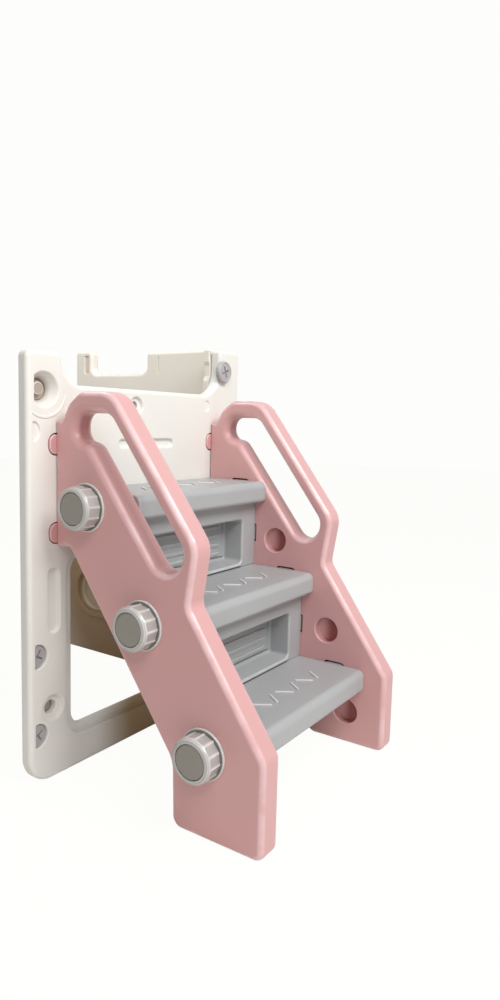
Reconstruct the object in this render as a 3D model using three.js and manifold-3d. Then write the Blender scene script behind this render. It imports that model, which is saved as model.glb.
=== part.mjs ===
// Climbing steps of a kids slide, with the end panel and side wall that carry them.
// Millimetres, +Z up, +Y away from the climber, +X to the climber's right.
// The assembly is laid out from the front face of the end panel (Y = 0) and the floor (Z = 0),
// and the whole is then moved so that its origin is the middle of its footprint.

import * as THREE from 'three';
import { mergeVertices } from 'three/addons/utils/BufferGeometryUtils.js';
import Module from 'manifold-3d';

const wasm = await Module();
wasm.setup();

// Widths and clearances
const unitWidth = 560;
const stepsWidth = 450;
const fitGap = 0.3;
const slipGap = 0.5;
const cutOverrun = 4;

// Steps
const stepCount = 3;
const middleStep = 1;
const stepRise = 167;
const stepRun = 113.3;
const lowTreadTop = 149.5;
const topNoseDepth = 142;
const treadThickness = 40;
const treadRound = 3;
const treadBackRound = 1;
const noseRound = 10;
const noseUnderRound = 5;
const noseOverhang = 25;
const riserDepth = 55;
const recessWidth = 276;
const recessSill = 7;
const recessHead = 33;
const recessDepth = 42;
const recessRound = 8;
const slatCount = 4;
const slatHeight = 6;
const slatProud = 3;
const slatMargin = 22;
const treadRibHeight = 1.2;
const treadRibWidth = 4;
const treadRibLength = 30;
const treadRibSpacing = 34;
const treadRibLean = Math.PI / 5;

// Keys on the step ends, which sit in pockets of the side panels
const keySetback = 64;
const keyDrop = 20;
const keyWidth = 40;
const keyHeight = 44;
const keyDepth = 9;
const keyRound = 6;
const riserKeyWidth = 30;
const riserKeyHeight = 33;
const riserKeyProud = 2;

// Side panels
const panelThickness = 43;
const panelRound = 10;
const footLead = 41.5;
const footDepth = 161;
const footToeRound = 5;
const footHeelRound = 8;
const kneeHeight = 101;
const kneeLean = 3;
const kneeRound = 35;
const seatDrop = 90.5;
const seatInset = 28;
const seatRound = 12;
const ledgeRise = 112.7;
const ledgeInset = 11;
const ledgeRound = 3;
const crownRise = 158;
const crownShares = [[0.33, 0.59], [0.9, 1]];
const crownRound = 20;
const crownFrontInset = 21.5;
const crownFrontRound = 40;
const bendLead = 32.7;
const bendRise = 107.5;
const bendRound = 32;
const neckLead = 18.7;
const neckRise = 19.5;
const neckRound = 22;
const shinDrop = 5.5;
const shinRound = 12;

// Hand slot in each side panel
const slotWidth = 61.6;
const slotLegHeight = 45;
const slotEndShare = 0.91;
const roundEndShare = 0.96;
const slotElbowRound = 8;
const slotCrownRound = 28;
const slotLegRound = 17;
const handleBarWidth = 24.5;
const topBarHeight = 33.5;
const slotInset = 43;

// Blind dimples in the inner faces
const dimpleRadius = 24;
const dimpleFloorRadius = 21;
const dimpleDepth = 16;
const dimpleShares = [[0.203, 0.68], [0.265, 0.638], [-0.322, 0.527]];

// Plugs on the back edge of each side panel, in sockets of the end panel
const plugHeight = 32;
const plugOverhang = 13;
const plugDepth = 18;
const plugProud = 1.5;
const plugRound = 13;
const plugTopDrop = 39;
const plugLowRise = 21;

// Studs and screw knobs
const knobSetback = 66;
const knobDrop = 20.5;
const knobRun = 118;
const knobRise = 166;
const studRadius = 10;
const threadDepth = 1.4;
const threadPitch = 6;
const studAnchorRadius = 14;
const studAnchorLength = 5;
const studGrip = 45;
const studTipGap = 2;
const knobRadius = 34.5;
const knobFluteDepth = 2;
const knobRidgeCount = 12;
const knobLength = 28.5;
const knobShoulderRadius = 31.5;
const knobShoulderLength = 5;
const knobRimRadius = 28.5;
const knobWeb = 3;
const hubRadius = 21.5;
const hubLipRadius = 23.5;
const hubLipLength = 1;
const washerRadius = 38.5;
const washerThickness = 3.5;
const washerRound = 1;
const capRadius = 26;
const capThickness = 3.5;
const capRecess = 0.7;
const capRound = 1;

// End panel
const endThickness = 25;
const endRound = 8;
const endFootRound = 37;
const leftPostTop = 703;
const rightPostTop = 748;
const postRound = 4;
const postWidth = 70;
const gateRise = 169.5;
const gateRound = 55;
const lowPostGateRound = 40;
const underGatePostWidth = 93;
const underGateBottom = 71;
const underGateDrop = 112.5;
const underGateRound = 28;
const rebateWidth = 17;
const rebateDepth = 3.5;

// Recesses in the end panel, placed down from the gate sill and in from the panel's sides
const edgeStrip = 9;
const portInset = 33;
const portDrop = 10;
const portRadius = 28.5;
const portDepth = 20;
const portRingRadius = 44;
const portRingProud = 1.5;
const pegRadius = 12;
const pegInset = 23;
const pegTipDepth = 5;
const moonRadius = 17;
const moonInset = 6;
const moonDrop = 75;
const moonDepth = 7;
const gripLength = 146;
const gripHeight = 17;
const gripDrop = 96.5;
const gripDepth = 6;
const gripShift = -10;
const eyeRadius = 17;
const eyeShift = -39;
const eyeDrop = 27;
const eyeDepth = 6;
const eyeHoleRadius = 8;
const eyeHoleDepth = 14;
const dropWidth = 21;
const dropHeight = 28;
const dropShift = 168;
const dropFall = 14;
const dropDepth = 4;
const postSlotWidth = 25;
const postSlotHeight = 108;
const postSlotInset = 50;
const postSlotLevel = 303;
const postSlotDepth = 7;
const slotRoundShare = 0.45;
const postEyeRadius = 23.5;
const postEyeInset = 47;
const postEyeLevel = 122;
const postEyeDepth = 8;
const postEyeHoleRadius = 11;
const postEyeHoleDepth = 20;

// Screws in the end panel
const pocketRadius = 20;
const pocketInset = 16;
const pocketDepth = 8;
const pocketLevelShares = [0.127, 0.331];
const pegHeadThickness = 4;
const shankRadius = 4;
const wallShankLength = 35;
const postShankLength = 12;
const crossLength = 22;
const crossWidth = 3.4;
const crossDepth = 1.6;
const gateScrewRadius = 22;
const gateScrewProud = 10;
const gateScrewRim = 3;
const gateScrewInset = 8;
const gateScrewDrop = 46;
const gateShankLength = 11;

// Side wall
const wallThickness = 25;
const wallRound = 8;
const wallDepth = 458;
const wallFlare = 17;
const wallFlareTop = 333;
const wallWaist = 523;
const wallFrontTop = 755;
const wallRearTop = 763;
const wallFootRound = 22;
const wallTopRound = 3;
const windowSill = 706;
const windowFront = 221;
const windowLength = 180;
const windowRound = 18;
const windowGroove = 34;
const windowGrooveWidth = 5;
const windowGrooveDepth = 2.5;
const flangeLap = 6;
const flangeThickness = 15;
const flangeDrop = 50;
const flangeRound = 3;
const bathHeight = 106;
const bathLength = 370;
const bathRearInset = 27;
const bathLevel = 160;
const bathDepth = 19;
const bathRimWidth = 15;
const bathRimProud = 3;
const bathRoundShare = 0.45;

const wideBend = 16;
const wideArcStep = Math.PI / 9;
const smallArcStep = Math.PI / 5;
const roundSides = 20;
const boreSides = 12;
const bevelSteps = 2;

// Places worked out from the driving sizes
const innerHalfWidth = stepsWidth / 2 - panelThickness;
const stepHalfWidth = innerHalfWidth - fitGap;
const treadTop = (step) => lowTreadTop + step * stepRise;
const noseFront = (step) => -(topNoseDepth + (stepCount - 1 - step) * stepRun);
const riserFront = (step) => noseFront(step) + noseOverhang;
const keyPlace = (step) => [noseFront(step) + keySetback, treadTop(step) - keyDrop];
const knobPlace = (step) => [
  noseFront(middleStep) + knobSetback + (step - middleStep) * knobRun,
  treadTop(middleStep) - knobDrop + (step - middleStep) * knobRise,
];
const washerTop = fitGap + washerThickness;
const knobBase = washerTop + fitGap;
const knobFront = knobBase + knobLength;
const capBase = knobFront - capRecess - capThickness;
const knobRecessFloor = capBase - fitGap;
const knobBoreEnd = knobRecessFloor - knobWeb;
const studTip = knobBoreEnd - studTipGap;
const topTread = treadTop(stepCount - 1);
const footFront = noseFront(0) - footLead;
const gateSill = topTread + gateRise;
const endHalfWidth = unitWidth / 2;
const gateHalfWidth = endHalfWidth - postWidth;
const underGateHalfWidth = endHalfWidth - underGatePostWidth;
const wallFront = endThickness + fitGap;
const wallRear = wallFront + wallDepth;
const unitRear = wallRear + wallFlare;
const unitTop = wallRearTop;
const pocketLevels = pocketLevelShares.map((share) => share * gateSill);
const sides = { left: -1, right: 1 };
const levels = ['low', 'middle', 'top'];

// Axes that a flat outline is carried along: its own x, y and thickness go to these
const alongX = [[0, 1, 0], [0, 0, 1], [1, 0, 0]];
const alongY = [[-1, 0, 0], [0, 0, 1], [0, 1, 0]];

// Points of a closed outline of [x, y, radius] corners, each corner turned by an arc.
// A corner's radius is that of the flat face, so an outer corner adds the edge rounding to it.
function roundedOutline(corners, round = 0, isHole = false) {
  const points = [];
  const sense = THREE.ShapeUtils.area(corners.map(([x, y]) => ({ x, y }))) < 0 ? -1 : 1;
  const outer = isHole ? -sense : sense;
  corners.forEach(([x, y, radius], index) => {
    const here = new THREE.Vector2(x, y);
    const [beforeX, beforeY] = corners[(index + corners.length - 1) % corners.length];
    const [afterX, afterY] = corners[(index + 1) % corners.length];
    const arriving = here.clone().sub(new THREE.Vector2(beforeX, beforeY)).normalize();
    const leaving = new THREE.Vector2(afterX, afterY).sub(here).normalize();
    const turn = Math.atan2(arriving.cross(leaving), arriving.dot(leaving));
    if (!radius) {
      points.push(here);
      return;
    }
    const bend = turn * outer > 0 ? radius + round : radius;
    const setback = bend * Math.tan(Math.abs(turn) / 2);
    const start = here.clone().addScaledVector(arriving, -setback);
    const across = new THREE.Vector2(-arriving.y, arriving.x).multiplyScalar(Math.sign(turn));
    const centre = start.clone().addScaledVector(across, bend);
    const arcStep = bend > wideBend ? wideArcStep : smallArcStep;
    const count = Math.max(1, Math.ceil(Math.abs(turn) / arcStep));
    for (let step = 0; step <= count; step += 1) {
      points.push(start.clone().rotateAround(centre, turn * step / count));
    }
  });
  return points;
}

// Corners of a rectangle about a centre, all with one radius
function rectangle(x, y, width, height, radius) {
  const [halfWidth, halfHeight] = [width / 2, height / 2];
  return [
    [x - halfWidth, y - halfHeight, radius],
    [x + halfWidth, y - halfHeight, radius],
    [x + halfWidth, y + halfHeight, radius],
    [x - halfWidth, y + halfHeight, radius],
  ];
}

// A closed solid from a geometry; triangles that a rounding has closed up are dropped
function solidOf(geometry) {
  geometry.deleteAttribute('normal');
  geometry.deleteAttribute('uv');
  const merged = mergeVertices(geometry);
  const vertProperties = Float32Array.from(merged.attributes.position.array);
  const corners = merged.index.array;
  const kept = [];
  for (let first = 0; first < corners.length; first += 3) {
    const [a, b, c] = corners.slice(first, first + 3);
    if (a !== b && b !== c && c !== a) {
      kept.push(a, b, c);
    }
  }
  const triVerts = Uint32Array.from(kept);
  return new wasm.Manifold(new wasm.Mesh({ numProp: 3, vertProperties, triVerts }));
}

function geometryOf(solid) {
  const mesh = solid.getMesh();
  const geometry = new THREE.BufferGeometry();
  geometry.setAttribute('position', new THREE.BufferAttribute(mesh.vertProperties, 3));
  geometry.setIndex(new THREE.BufferAttribute(mesh.triVerts, 1));
  geometry.computeVertexNormals();
  return geometry;
}

// A plate with an outline and holes, whose thickness runs from one level to another along
// its axis, with all its edges rounded
function plate(corners, axes, from, to, round = 0, holes = []) {
  const shape = new THREE.Shape(roundedOutline(corners, round));
  holes.forEach((hole) => shape.holes.push(new THREE.Path(roundedOutline(hole, round, true))));
  const geometry = new THREE.ExtrudeGeometry(shape, {
    depth: to - from - 2 * round,
    bevelEnabled: round > 0,
    bevelThickness: round,
    bevelSize: round,
    bevelOffset: -round,
    bevelSegments: bevelSteps,
  });
  geometry.translate(0, 0, from + round);
  const basis = axes.map((axis) => new THREE.Vector3(...axis));
  geometry.applyMatrix4(new THREE.Matrix4().makeBasis(...basis));
  return solidOf(geometry);
}

// A disc or cone about the X or Y axis, between two levels of that axis
function discAlongX(y, z, radius, from, to, farRadius = radius, count = roundSides) {
  const geometry = new THREE.CylinderGeometry(farRadius, radius, to - from, count);
  geometry.rotateZ(-Math.PI / 2);
  geometry.translate((from + to) / 2, y, z);
  return solidOf(geometry);
}

function discAlongY(x, z, radius, from, to, farRadius = radius, count = roundSides) {
  const geometry = new THREE.CylinderGeometry(farRadius, radius, to - from, count);
  geometry.translate(x, (from + to) / 2, z);
  return solidOf(geometry);
}

function box(low, high) {
  const size = high.map((value, axis) => value - low[axis]);
  const geometry = new THREE.BoxGeometry(...size);
  geometry.translate(...low.map((value, axis) => value + size[axis] / 2));
  return solidOf(geometry);
}

// A body turned about its own Z axis from a closed profile of [radius, level] points
function turned(profile, count) {
  const points = profile.map(([radius, level]) => new THREE.Vector2(radius, level));
  const geometry = new THREE.LatheGeometry(points, count);
  geometry.rotateX(Math.PI / 2);
  return solidOf(geometry);
}

// The rounded key and riser key outlines of one step, seen along X, grown by a clearance
function keyCorners(step, grow) {
  const [y, z] = keyPlace(step);
  return rectangle(y, z, keyWidth + 2 * grow, keyHeight + 2 * grow, keyRound + grow);
}

function riserKeyCorners(step, grow) {
  const y = riserFront(step) - riserKeyProud + riserKeyWidth / 2;
  const z = treadTop(step) - (stepRise + treadThickness) / 2;
  return rectangle(y, z, riserKeyWidth + 2 * grow, riserKeyHeight + 2 * grow, grow);
}

// Side panel

function panelCorners() {
  const ledge = topTread + ledgeRise;
  const crown = topTread + crownRise;
  const crownHeight = crown - ledge;
  const footRear = footFront + footDepth;
  const backOverrun = panelRound;
  return [
    [footFront, 0, footToeRound],
    [footRear, 0, footHeelRound],
    [footRear + kneeLean, kneeHeight, kneeRound],
    [-seatInset, topTread - seatDrop, seatRound],
    [backOverrun, topTread - seatDrop, 0],
    [backOverrun, ledge, 0],
    [-ledgeInset, ledge, ledgeRound],
    ...crownShares.map(([back, up]) => [
      -ledgeInset - back * crownHeight, ledge + up * crownHeight, crownRound]),
    crownFront(),
    bendFront(),
    [noseFront(middleStep) - neckLead, treadTop(middleStep) + neckRise, neckRound],
    [footFront, lowTreadTop - shinDrop, shinRound],
  ];
}

function crownFront() {
  return [noseFront(stepCount - 1) + crownFrontInset, topTread + crownRise, crownFrontRound];
}

function bendFront() {
  return [noseFront(middleStep) - bendLead, treadTop(middleStep) + bendRise, bendRound];
}

// The hand slot follows the front edge at the width of the handle bar
function slotCorners() {
  const top = new THREE.Vector2(...crownFront());
  const low = new THREE.Vector2(...bendFront());
  const along = low.clone().sub(top);
  const length = along.length();
  along.normalize();
  const inward = new THREE.Vector2(-along.y, along.x);
  const slotTop = top.y - topBarHeight;
  const legBottom = slotTop - slotLegHeight;
  const atHeight = (offset, height) => {
    const start = top.clone().addScaledVector(inward, offset);
    return start.addScaledVector(along, (height - start.y) / along.y);
  };
  const endRadius = slotWidth / 2;
  const reach = length * slotEndShare + endRadius;
  const end = (offset) => top.clone().addScaledVector(inward, offset).addScaledVector(along, reach);
  const front = atHeight(handleBarWidth, slotTop);
  const elbow = atHeight(handleBarWidth + slotWidth, legBottom);
  const endFront = end(handleBarWidth);
  const endRear = end(handleBarWidth + slotWidth);
  return [
    [-slotInset, slotTop, slotLegRound],
    [front.x, front.y, slotCrownRound],
    [endFront.x, endFront.y, endRadius * roundEndShare],
    [endRear.x, endRear.y, endRadius * roundEndShare],
    [elbow.x, elbow.y, slotElbowRound],
    [-slotInset, legBottom, slotLegRound],
  ];
}

function plugPlaces() {
  return [topTread + ledgeRise - plugTopDrop, topTread - seatDrop + plugLowRise];
}

function plug(x, level, grow, from, to) {
  const width = panelThickness + 2 * (plugOverhang + grow);
  const height = plugHeight + 2 * grow;
  const corners = rectangle(-x, level, width, height, plugRound + grow);
  return plate(corners, alongY, from, to);
}

function sidePanel(side) {
  const outer = stepsWidth / 2;
  const centre = side * (outer - panelThickness / 2);
  const [low, high] = side < 0 ? [-outer, -innerHalfWidth] : [innerHalfWidth, outer];
  let solid = plate(panelCorners(), alongX, low, high, panelRound, [slotCorners()]);
  const behind = box([low - cutOverrun, -fitGap, 0], [high + cutOverrun, endThickness, unitTop]);
  solid = solid.subtract(behind);
  plugPlaces().forEach((level) => {
    solid = solid.add(plug(centre, level, 0, -plugProud, plugDepth));
  });
  const inner = side * innerHalfWidth;
  const pocketFloor = inner + side * (keyDepth + slipGap);
  const pocketMouth = inner - side * cutOverrun;
  const span = [Math.min(pocketFloor, pocketMouth), Math.max(pocketFloor, pocketMouth)];
  levels.forEach((level, step) => {
    const [y, z] = knobPlace(step);
    const boreRadius = studRadius + slipGap;
    const bore = discAlongX(y, z, boreRadius, low - cutOverrun, high + cutOverrun, boreRadius,
      boreSides);
    solid = solid.subtract(bore).subtract(plate(keyCorners(step, slipGap), alongX, ...span));
    if (step > 0) {
      solid = solid.subtract(plate(riserKeyCorners(step, slipGap), alongX, ...span));
    }
    solid = solid.subtract(dimple(side, step));
  });
  return solid;
}

// A dimple lies under each nose, its cone narrowing to the floor
function dimple(side, step) {
  const [forwardShare, dropShare] = dimpleShares[stepCount - 1 - step];
  const y = noseFront(step) - forwardShare * stepRun;
  const z = treadTop(step) - dropShare * stepRise;
  const inner = side * innerHalfWidth;
  const floor = inner + side * dimpleDepth;
  const radii = side > 0 ? [dimpleRadius, dimpleFloorRadius] : [dimpleFloorRadius, dimpleRadius];
  const [from, to] = side > 0 ? [inner, floor] : [floor, inner];
  return discAlongX(y, z, radii[0], from, to, radii[1]);
}

// Steps

function treadSlab(step) {
  const front = noseFront(step);
  const isTop = step === stepCount - 1;
  const back = isTop ? -fitGap : riserFront(step + 1) + riserDepth;
  const corners = [
    [front, treadTop(step) - treadThickness, noseUnderRound],
    [back, treadTop(step) - treadThickness, treadBackRound],
    [back, treadTop(step), treadBackRound],
    [front, treadTop(step), noseRound],
  ];
  return plate(corners, alongX, -stepHalfWidth, stepHalfWidth, treadRound);
}

function riser(step) {
  const front = riserFront(step);
  const low = treadTop(step) - stepRise + fitGap;
  const high = treadTop(step) - treadThickness;
  const body = box([-stepHalfWidth, front, low], [stepHalfWidth, front + riserDepth,
    high + treadRound]);
  const bottom = low + recessSill;
  const top = high - recessHead;
  const level = (bottom + top) / 2;
  const corners = rectangle(0, level, recessWidth, top - bottom, recessRound);
  let solid = body.subtract(plate(corners, alongY, front - cutOverrun, front + recessDepth));
  const pitch = (top - bottom) / (slatCount + 1);
  for (let slat = 1; slat <= slatCount; slat += 1) {
    const z = bottom + slat * pitch;
    const reach = recessWidth / 2 - slatMargin;
    const floor = front + recessDepth;
    solid = solid.add(box([-reach, floor - slatProud, z - slatHeight / 2],
      [reach, floor + slatProud, z + slatHeight / 2]));
  }
  return solid;
}

// Raised ribs on the tread, a row of slanted pairs that gives a shoe some hold
function treadRibs(step) {
  const z = treadTop(step);
  const y = noseFront(step) + keySetback;
  const count = Math.floor((recessWidth - treadRibLength) / treadRibSpacing / 2);
  const ribs = [];
  for (let place = -count; place <= count; place += 1) {
    const lean = place % 2 === 0 ? 1 : -1;
    const geometry = new THREE.BoxGeometry(treadRibWidth, treadRibLength, 2 * treadRibHeight);
    geometry.rotateZ(lean * treadRibLean);
    geometry.translate(place * treadRibSpacing, y, z);
    ribs.push(solidOf(geometry));
  }
  return ribs;
}

// A key on each end of a step, with the blind bore that holds the stud's anchor
function stepEnds(solid, step) {
  const [y, z] = knobPlace(step);
  let ended = solid;
  Object.values(sides).forEach((side) => {
    const ends = [side * (stepHalfWidth - treadRound), side * (innerHalfWidth + keyDepth)];
    const span = [Math.min(...ends), Math.max(...ends)];
    ended = ended.add(plate(keyCorners(step, 0), alongX, ...span));
    if (step > 0) {
      ended = ended.add(plate(riserKeyCorners(step, 0), alongX, ...span));
    }
    const anchor = side * (innerHalfWidth - studGrip);
    const mouth = side * (innerHalfWidth + keyDepth + cutOverrun);
    const anchorEnd = anchor + side * studAnchorLength;
    const boreRadius = studRadius + fitGap;
    const bore = [Math.min(anchorEnd, mouth), Math.max(anchorEnd, mouth)];
    const pocket = [anchor - side * fitGap, anchorEnd + side * fitGap];
    ended = ended
      .subtract(discAlongX(y, z, boreRadius, ...bore, boreRadius, boreSides))
      .subtract(discAlongX(y, z, studAnchorRadius + fitGap, Math.min(...pocket),
        Math.max(...pocket)));
  });
  return ended;
}

function stepSolid(step) {
  let solid = treadSlab(step);
  if (step > 0) {
    solid = solid.add(riser(step));
  }
  treadRibs(step).forEach((rib) => {
    solid = solid.add(rib);
  });
  return stepEnds(solid, step);
}

// Stud, washer, knob and cap, each built outwards along +Z from the side panel's outer face

function studProfile() {
  const anchor = -(panelThickness + studGrip);
  const anchorTop = anchor + studAnchorLength;
  const rootRadius = studRadius - threadDepth;
  const profile = [
    [0, anchor], [studAnchorRadius, anchor], [studAnchorRadius, anchorTop],
    [studRadius, anchorTop], [studRadius, 0],
  ];
  const turns = Math.floor(studTip / threadPitch);
  for (let turn = 0; turn < turns; turn += 1) {
    profile.push([rootRadius, (turn + 1 / 2) * threadPitch], [studRadius, (turn + 1) * threadPitch]);
  }
  profile.push([rootRadius, studTip], [0, studTip]);
  return profile;
}

function washerProfile() {
  const innerRadius = hubRadius + slipGap;
  const lipRadius = hubLipRadius + slipGap;
  const lipLevel = fitGap + hubLipLength + slipGap;
  return [
    [lipRadius, fitGap], [washerRadius, fitGap], [washerRadius, washerTop - washerRound],
    [washerRadius - washerRound, washerTop], [innerRadius, washerTop], [innerRadius, lipLevel],
    [lipRadius, lipLevel], [lipRadius, fitGap],
  ];
}

// The grip is a ring of wide flutes with a narrow ridge between each two
function knobGrip() {
  const corners = [];
  const ridgeAngle = 2 * Math.PI / knobRidgeCount;
  const fluteShares = [[-0.36, 1], [0.36, 1], [0.5, 0]];
  for (let ridge = 0; ridge < knobRidgeCount; ridge += 1) {
    fluteShares.forEach(([turn, deep]) => {
      const angle = (ridge + turn) * ridgeAngle;
      const radius = knobRadius - deep * knobFluteDepth;
      corners.push([radius * Math.cos(angle), radius * Math.sin(angle), 0]);
    });
  }
  const axes = [[1, 0, 0], [0, 1, 0], [0, 0, 1]];
  return plate(corners, axes, knobBase, knobFront - knobShoulderLength);
}

function knobSolid() {
  const gripMiddle = knobBase + knobLength / 2;
  const lip = turned([[0, slipGap], [hubLipRadius, slipGap],
    [hubLipRadius, slipGap + hubLipLength], [hubRadius, slipGap + hubLipLength],
    [hubRadius, gripMiddle], [0, gripMiddle]], roundSides);
  const shoulder = turned([[0, gripMiddle], [knobShoulderRadius, gripMiddle],
    [knobShoulderRadius, knobFront - knobShoulderLength], [knobRimRadius, knobFront],
    [0, knobFront]], roundSides);
  const boreRadius = studRadius + slipGap;
  const bore = turned([[0, -cutOverrun], [boreRadius, -cutOverrun], [boreRadius, knobBoreEnd],
    [0, knobBoreEnd]], boreSides);
  const recess = turned([[0, knobRecessFloor], [capRadius + fitGap, knobRecessFloor],
    [capRadius + fitGap, knobFront + cutOverrun], [0, knobFront + cutOverrun]], roundSides);
  return knobGrip().add(lip).add(shoulder).subtract(bore).subtract(recess);
}

function capProfile() {
  const top = knobFront - capRecess;
  return [[0, capBase], [capRadius, capBase], [capRadius, top - capRound],
    [capRadius - capRound, top], [0, top]];
}

// End panel

function endCorners() {
  const half = endHalfWidth;
  return [
    [half, 0, endFootRound],
    [-half, 0, endFootRound],
    [-half, rightPostTop, postRound],
    [-gateHalfWidth, rightPostTop, 0],
    [-gateHalfWidth, gateSill, gateRound],
    [gateHalfWidth, gateSill, lowPostGateRound],
    [gateHalfWidth, leftPostTop, 0],
    [half, leftPostTop, postRound],
  ];
}

function underGateCorners(grow) {
  const top = topTread - underGateDrop;
  const height = top - underGateBottom + 2 * grow;
  const level = (top + underGateBottom) / 2;
  return rectangle(0, level, 2 * (underGateHalfWidth + grow), height, underGateRound + grow);
}

// Recess with an outline seen along Y, cut from the front face to a depth
function frontRecess(corners, depth) {
  return plate(corners, alongY, -cutOverrun, depth);
}

// The half discs and screw pockets stop at the plain strip along the panel's edge
function besideStrip(solid) {
  const inside = endHalfWidth - edgeStrip;
  return solid.intersect(box([-inside, -endThickness, 0], [inside, 2 * endThickness, unitTop]));
}

function portCuts() {
  const x = -endHalfWidth + portInset;
  const z = gateSill - portDrop;
  const hole = besideStrip(discAlongY(x, z, portRadius, -cutOverrun, portDepth));
  const pegX = -endHalfWidth + pegInset;
  const peg = discAlongY(pegX, z, pegRadius, pegTipDepth, endThickness);
  return hole.subtract(peg);
}

function portRing() {
  const x = -endHalfWidth + portInset;
  const ring = discAlongY(x, gateSill - portDrop, portRingRadius, -portRingProud, endRound);
  return besideStrip(ring);
}

function sillCuts() {
  const grip = rectangle(-gripShift, gateSill - gripDrop, gripLength, gripHeight,
    gripHeight * slotRoundShare);
  const drop = rectangle(-dropShift, gateSill - dropFall, dropWidth, dropHeight,
    dropWidth * slotRoundShare);
  const eyeLevel = gateSill - eyeDrop;
  return [
    frontRecess(grip, gripDepth),
    frontRecess(drop, dropDepth),
    discAlongY(eyeShift, eyeLevel, eyeRadius, -cutOverrun, eyeDepth),
    discAlongY(eyeShift, eyeLevel, eyeHoleRadius, -cutOverrun, eyeHoleDepth),
  ];
}

function postCuts(side) {
  const slotX = side * (endHalfWidth - postSlotInset);
  const slot = rectangle(-slotX, postSlotLevel, postSlotWidth, postSlotHeight,
    postSlotWidth * slotRoundShare);
  const eyeX = side * (endHalfWidth - postEyeInset);
  const moonX = side * (endHalfWidth - moonInset);
  const moon = discAlongY(moonX, gateSill - moonDrop, moonRadius, -cutOverrun, moonDepth);
  return [
    frontRecess(slot, postSlotDepth),
    discAlongY(eyeX, postEyeLevel, postEyeRadius, -cutOverrun, postEyeDepth),
    discAlongY(eyeX, postEyeLevel, postEyeHoleRadius, -cutOverrun, postEyeHoleDepth),
    besideStrip(moon),
    ...pocketLevels.flatMap((level) => pocketCuts(side, level)),
  ];
}

function pocketCuts(side, level) {
  const x = side * (endHalfWidth - pocketInset);
  const pocket = discAlongY(x, level, pocketRadius, -cutOverrun, pocketDepth);
  const boreRadius = shankRadius + fitGap;
  const boreEnd = side > 0 ? endThickness + cutOverrun : pocketDepth + postShankLength + fitGap;
  return [
    besideStrip(pocket),
    discAlongY(x, level, boreRadius, 0, boreEnd, boreRadius, boreSides),
  ];
}

function gateScrewPlace() {
  return [gateHalfWidth + gateScrewInset, rightPostTop - gateScrewDrop];
}

function endPanel() {
  let solid = plate(endCorners(), alongY, 0, endThickness, endRound, [underGateCorners(0)]);
  solid = solid.add(portRing());
  const boreRadius = shankRadius + fitGap;
  const [screwX, screwZ] = gateScrewPlace();
  const cuts = [
    frontRecess(underGateCorners(rebateWidth), rebateDepth),
    portCuts(),
    ...sillCuts(),
    ...postCuts(sides.left),
    ...postCuts(sides.right),
    discAlongY(screwX, screwZ, boreRadius, -cutOverrun, endThickness + cutOverrun, boreRadius,
      boreSides),
  ];
  Object.values(sides).forEach((side) => {
    const x = side * (stepsWidth - panelThickness) / 2;
    plugPlaces().forEach((level) => {
      cuts.push(plug(x, level, slipGap, -cutOverrun, plugDepth + slipGap));
    });
  });
  cuts.forEach((cut) => {
    solid = solid.subtract(cut);
  });
  return solid;
}

// Cross-headed screws, pushed or turned in from the front face

function crossCut(x, z, face) {
  const [long, short] = [crossLength / 2, crossWidth / 2];
  const bar = box([x - long, face - cutOverrun, z - short], [x + long, face + crossDepth, z + short]);
  const post = box([x - short, face - cutOverrun, z - long], [x + short, face + crossDepth, z + long]);
  return bar.add(post);
}

function pocketScrew(side, level) {
  const x = side * (endHalfWidth - pocketInset);
  const back = pocketDepth - fitGap;
  const face = back - pegHeadThickness;
  const head = discAlongY(x, level, pocketRadius - slipGap, face, back);
  const inside = endHalfWidth - edgeStrip - slipGap;
  const strip = box([-inside, 0, 0], [inside, endThickness, unitTop]);
  const reach = side > 0 ? endThickness + wallShankLength : pocketDepth + postShankLength;
  const shank = discAlongY(x, level, shankRadius, face + crossDepth + fitGap, reach, shankRadius,
    boreSides);
  return head.intersect(strip).subtract(crossCut(x, level, face)).add(shank);
}

function gateScrew() {
  const [x, z] = gateScrewPlace();
  const rim = gateScrewRim - gateScrewProud;
  const back = discAlongY(x, z, gateScrewRadius, rim, -fitGap);
  const front = discAlongY(x, z, gateScrewRadius - gateScrewRim, -gateScrewProud, rim,
    gateScrewRadius);
  const shank = discAlongY(x, z, shankRadius, rim, endThickness + gateShankLength, shankRadius,
    boreSides);
  return back.add(front).subtract(crossCut(x, z, -gateScrewProud)).add(shank);
}

// Side wall, which stands behind the end panel at its right side

function wallCorners() {
  return [
    [wallFront, 0, wallFootRound],
    [unitRear, 0, wallFootRound],
    [unitRear, wallFlareTop, wallFootRound],
    [wallRear, wallWaist, wallFootRound],
    [wallRear, wallRearTop, wallTopRound],
    [wallFront + windowFront + windowLength, wallRearTop, wallTopRound],
    [wallFront + windowFront + windowLength, windowSill, windowRound],
    [wallFront + windowFront, windowSill, windowRound],
    [wallFront + windowFront, wallFrontTop, wallTopRound],
    [wallFront, wallFrontTop, wallTopRound],
  ];
}

function bathCorners(grow) {
  const y = unitRear - bathRearInset - bathLength / 2;
  const height = bathHeight + 2 * grow;
  return rectangle(y, bathLevel, bathLength + 2 * grow, height, height * bathRoundShare);
}

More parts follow.
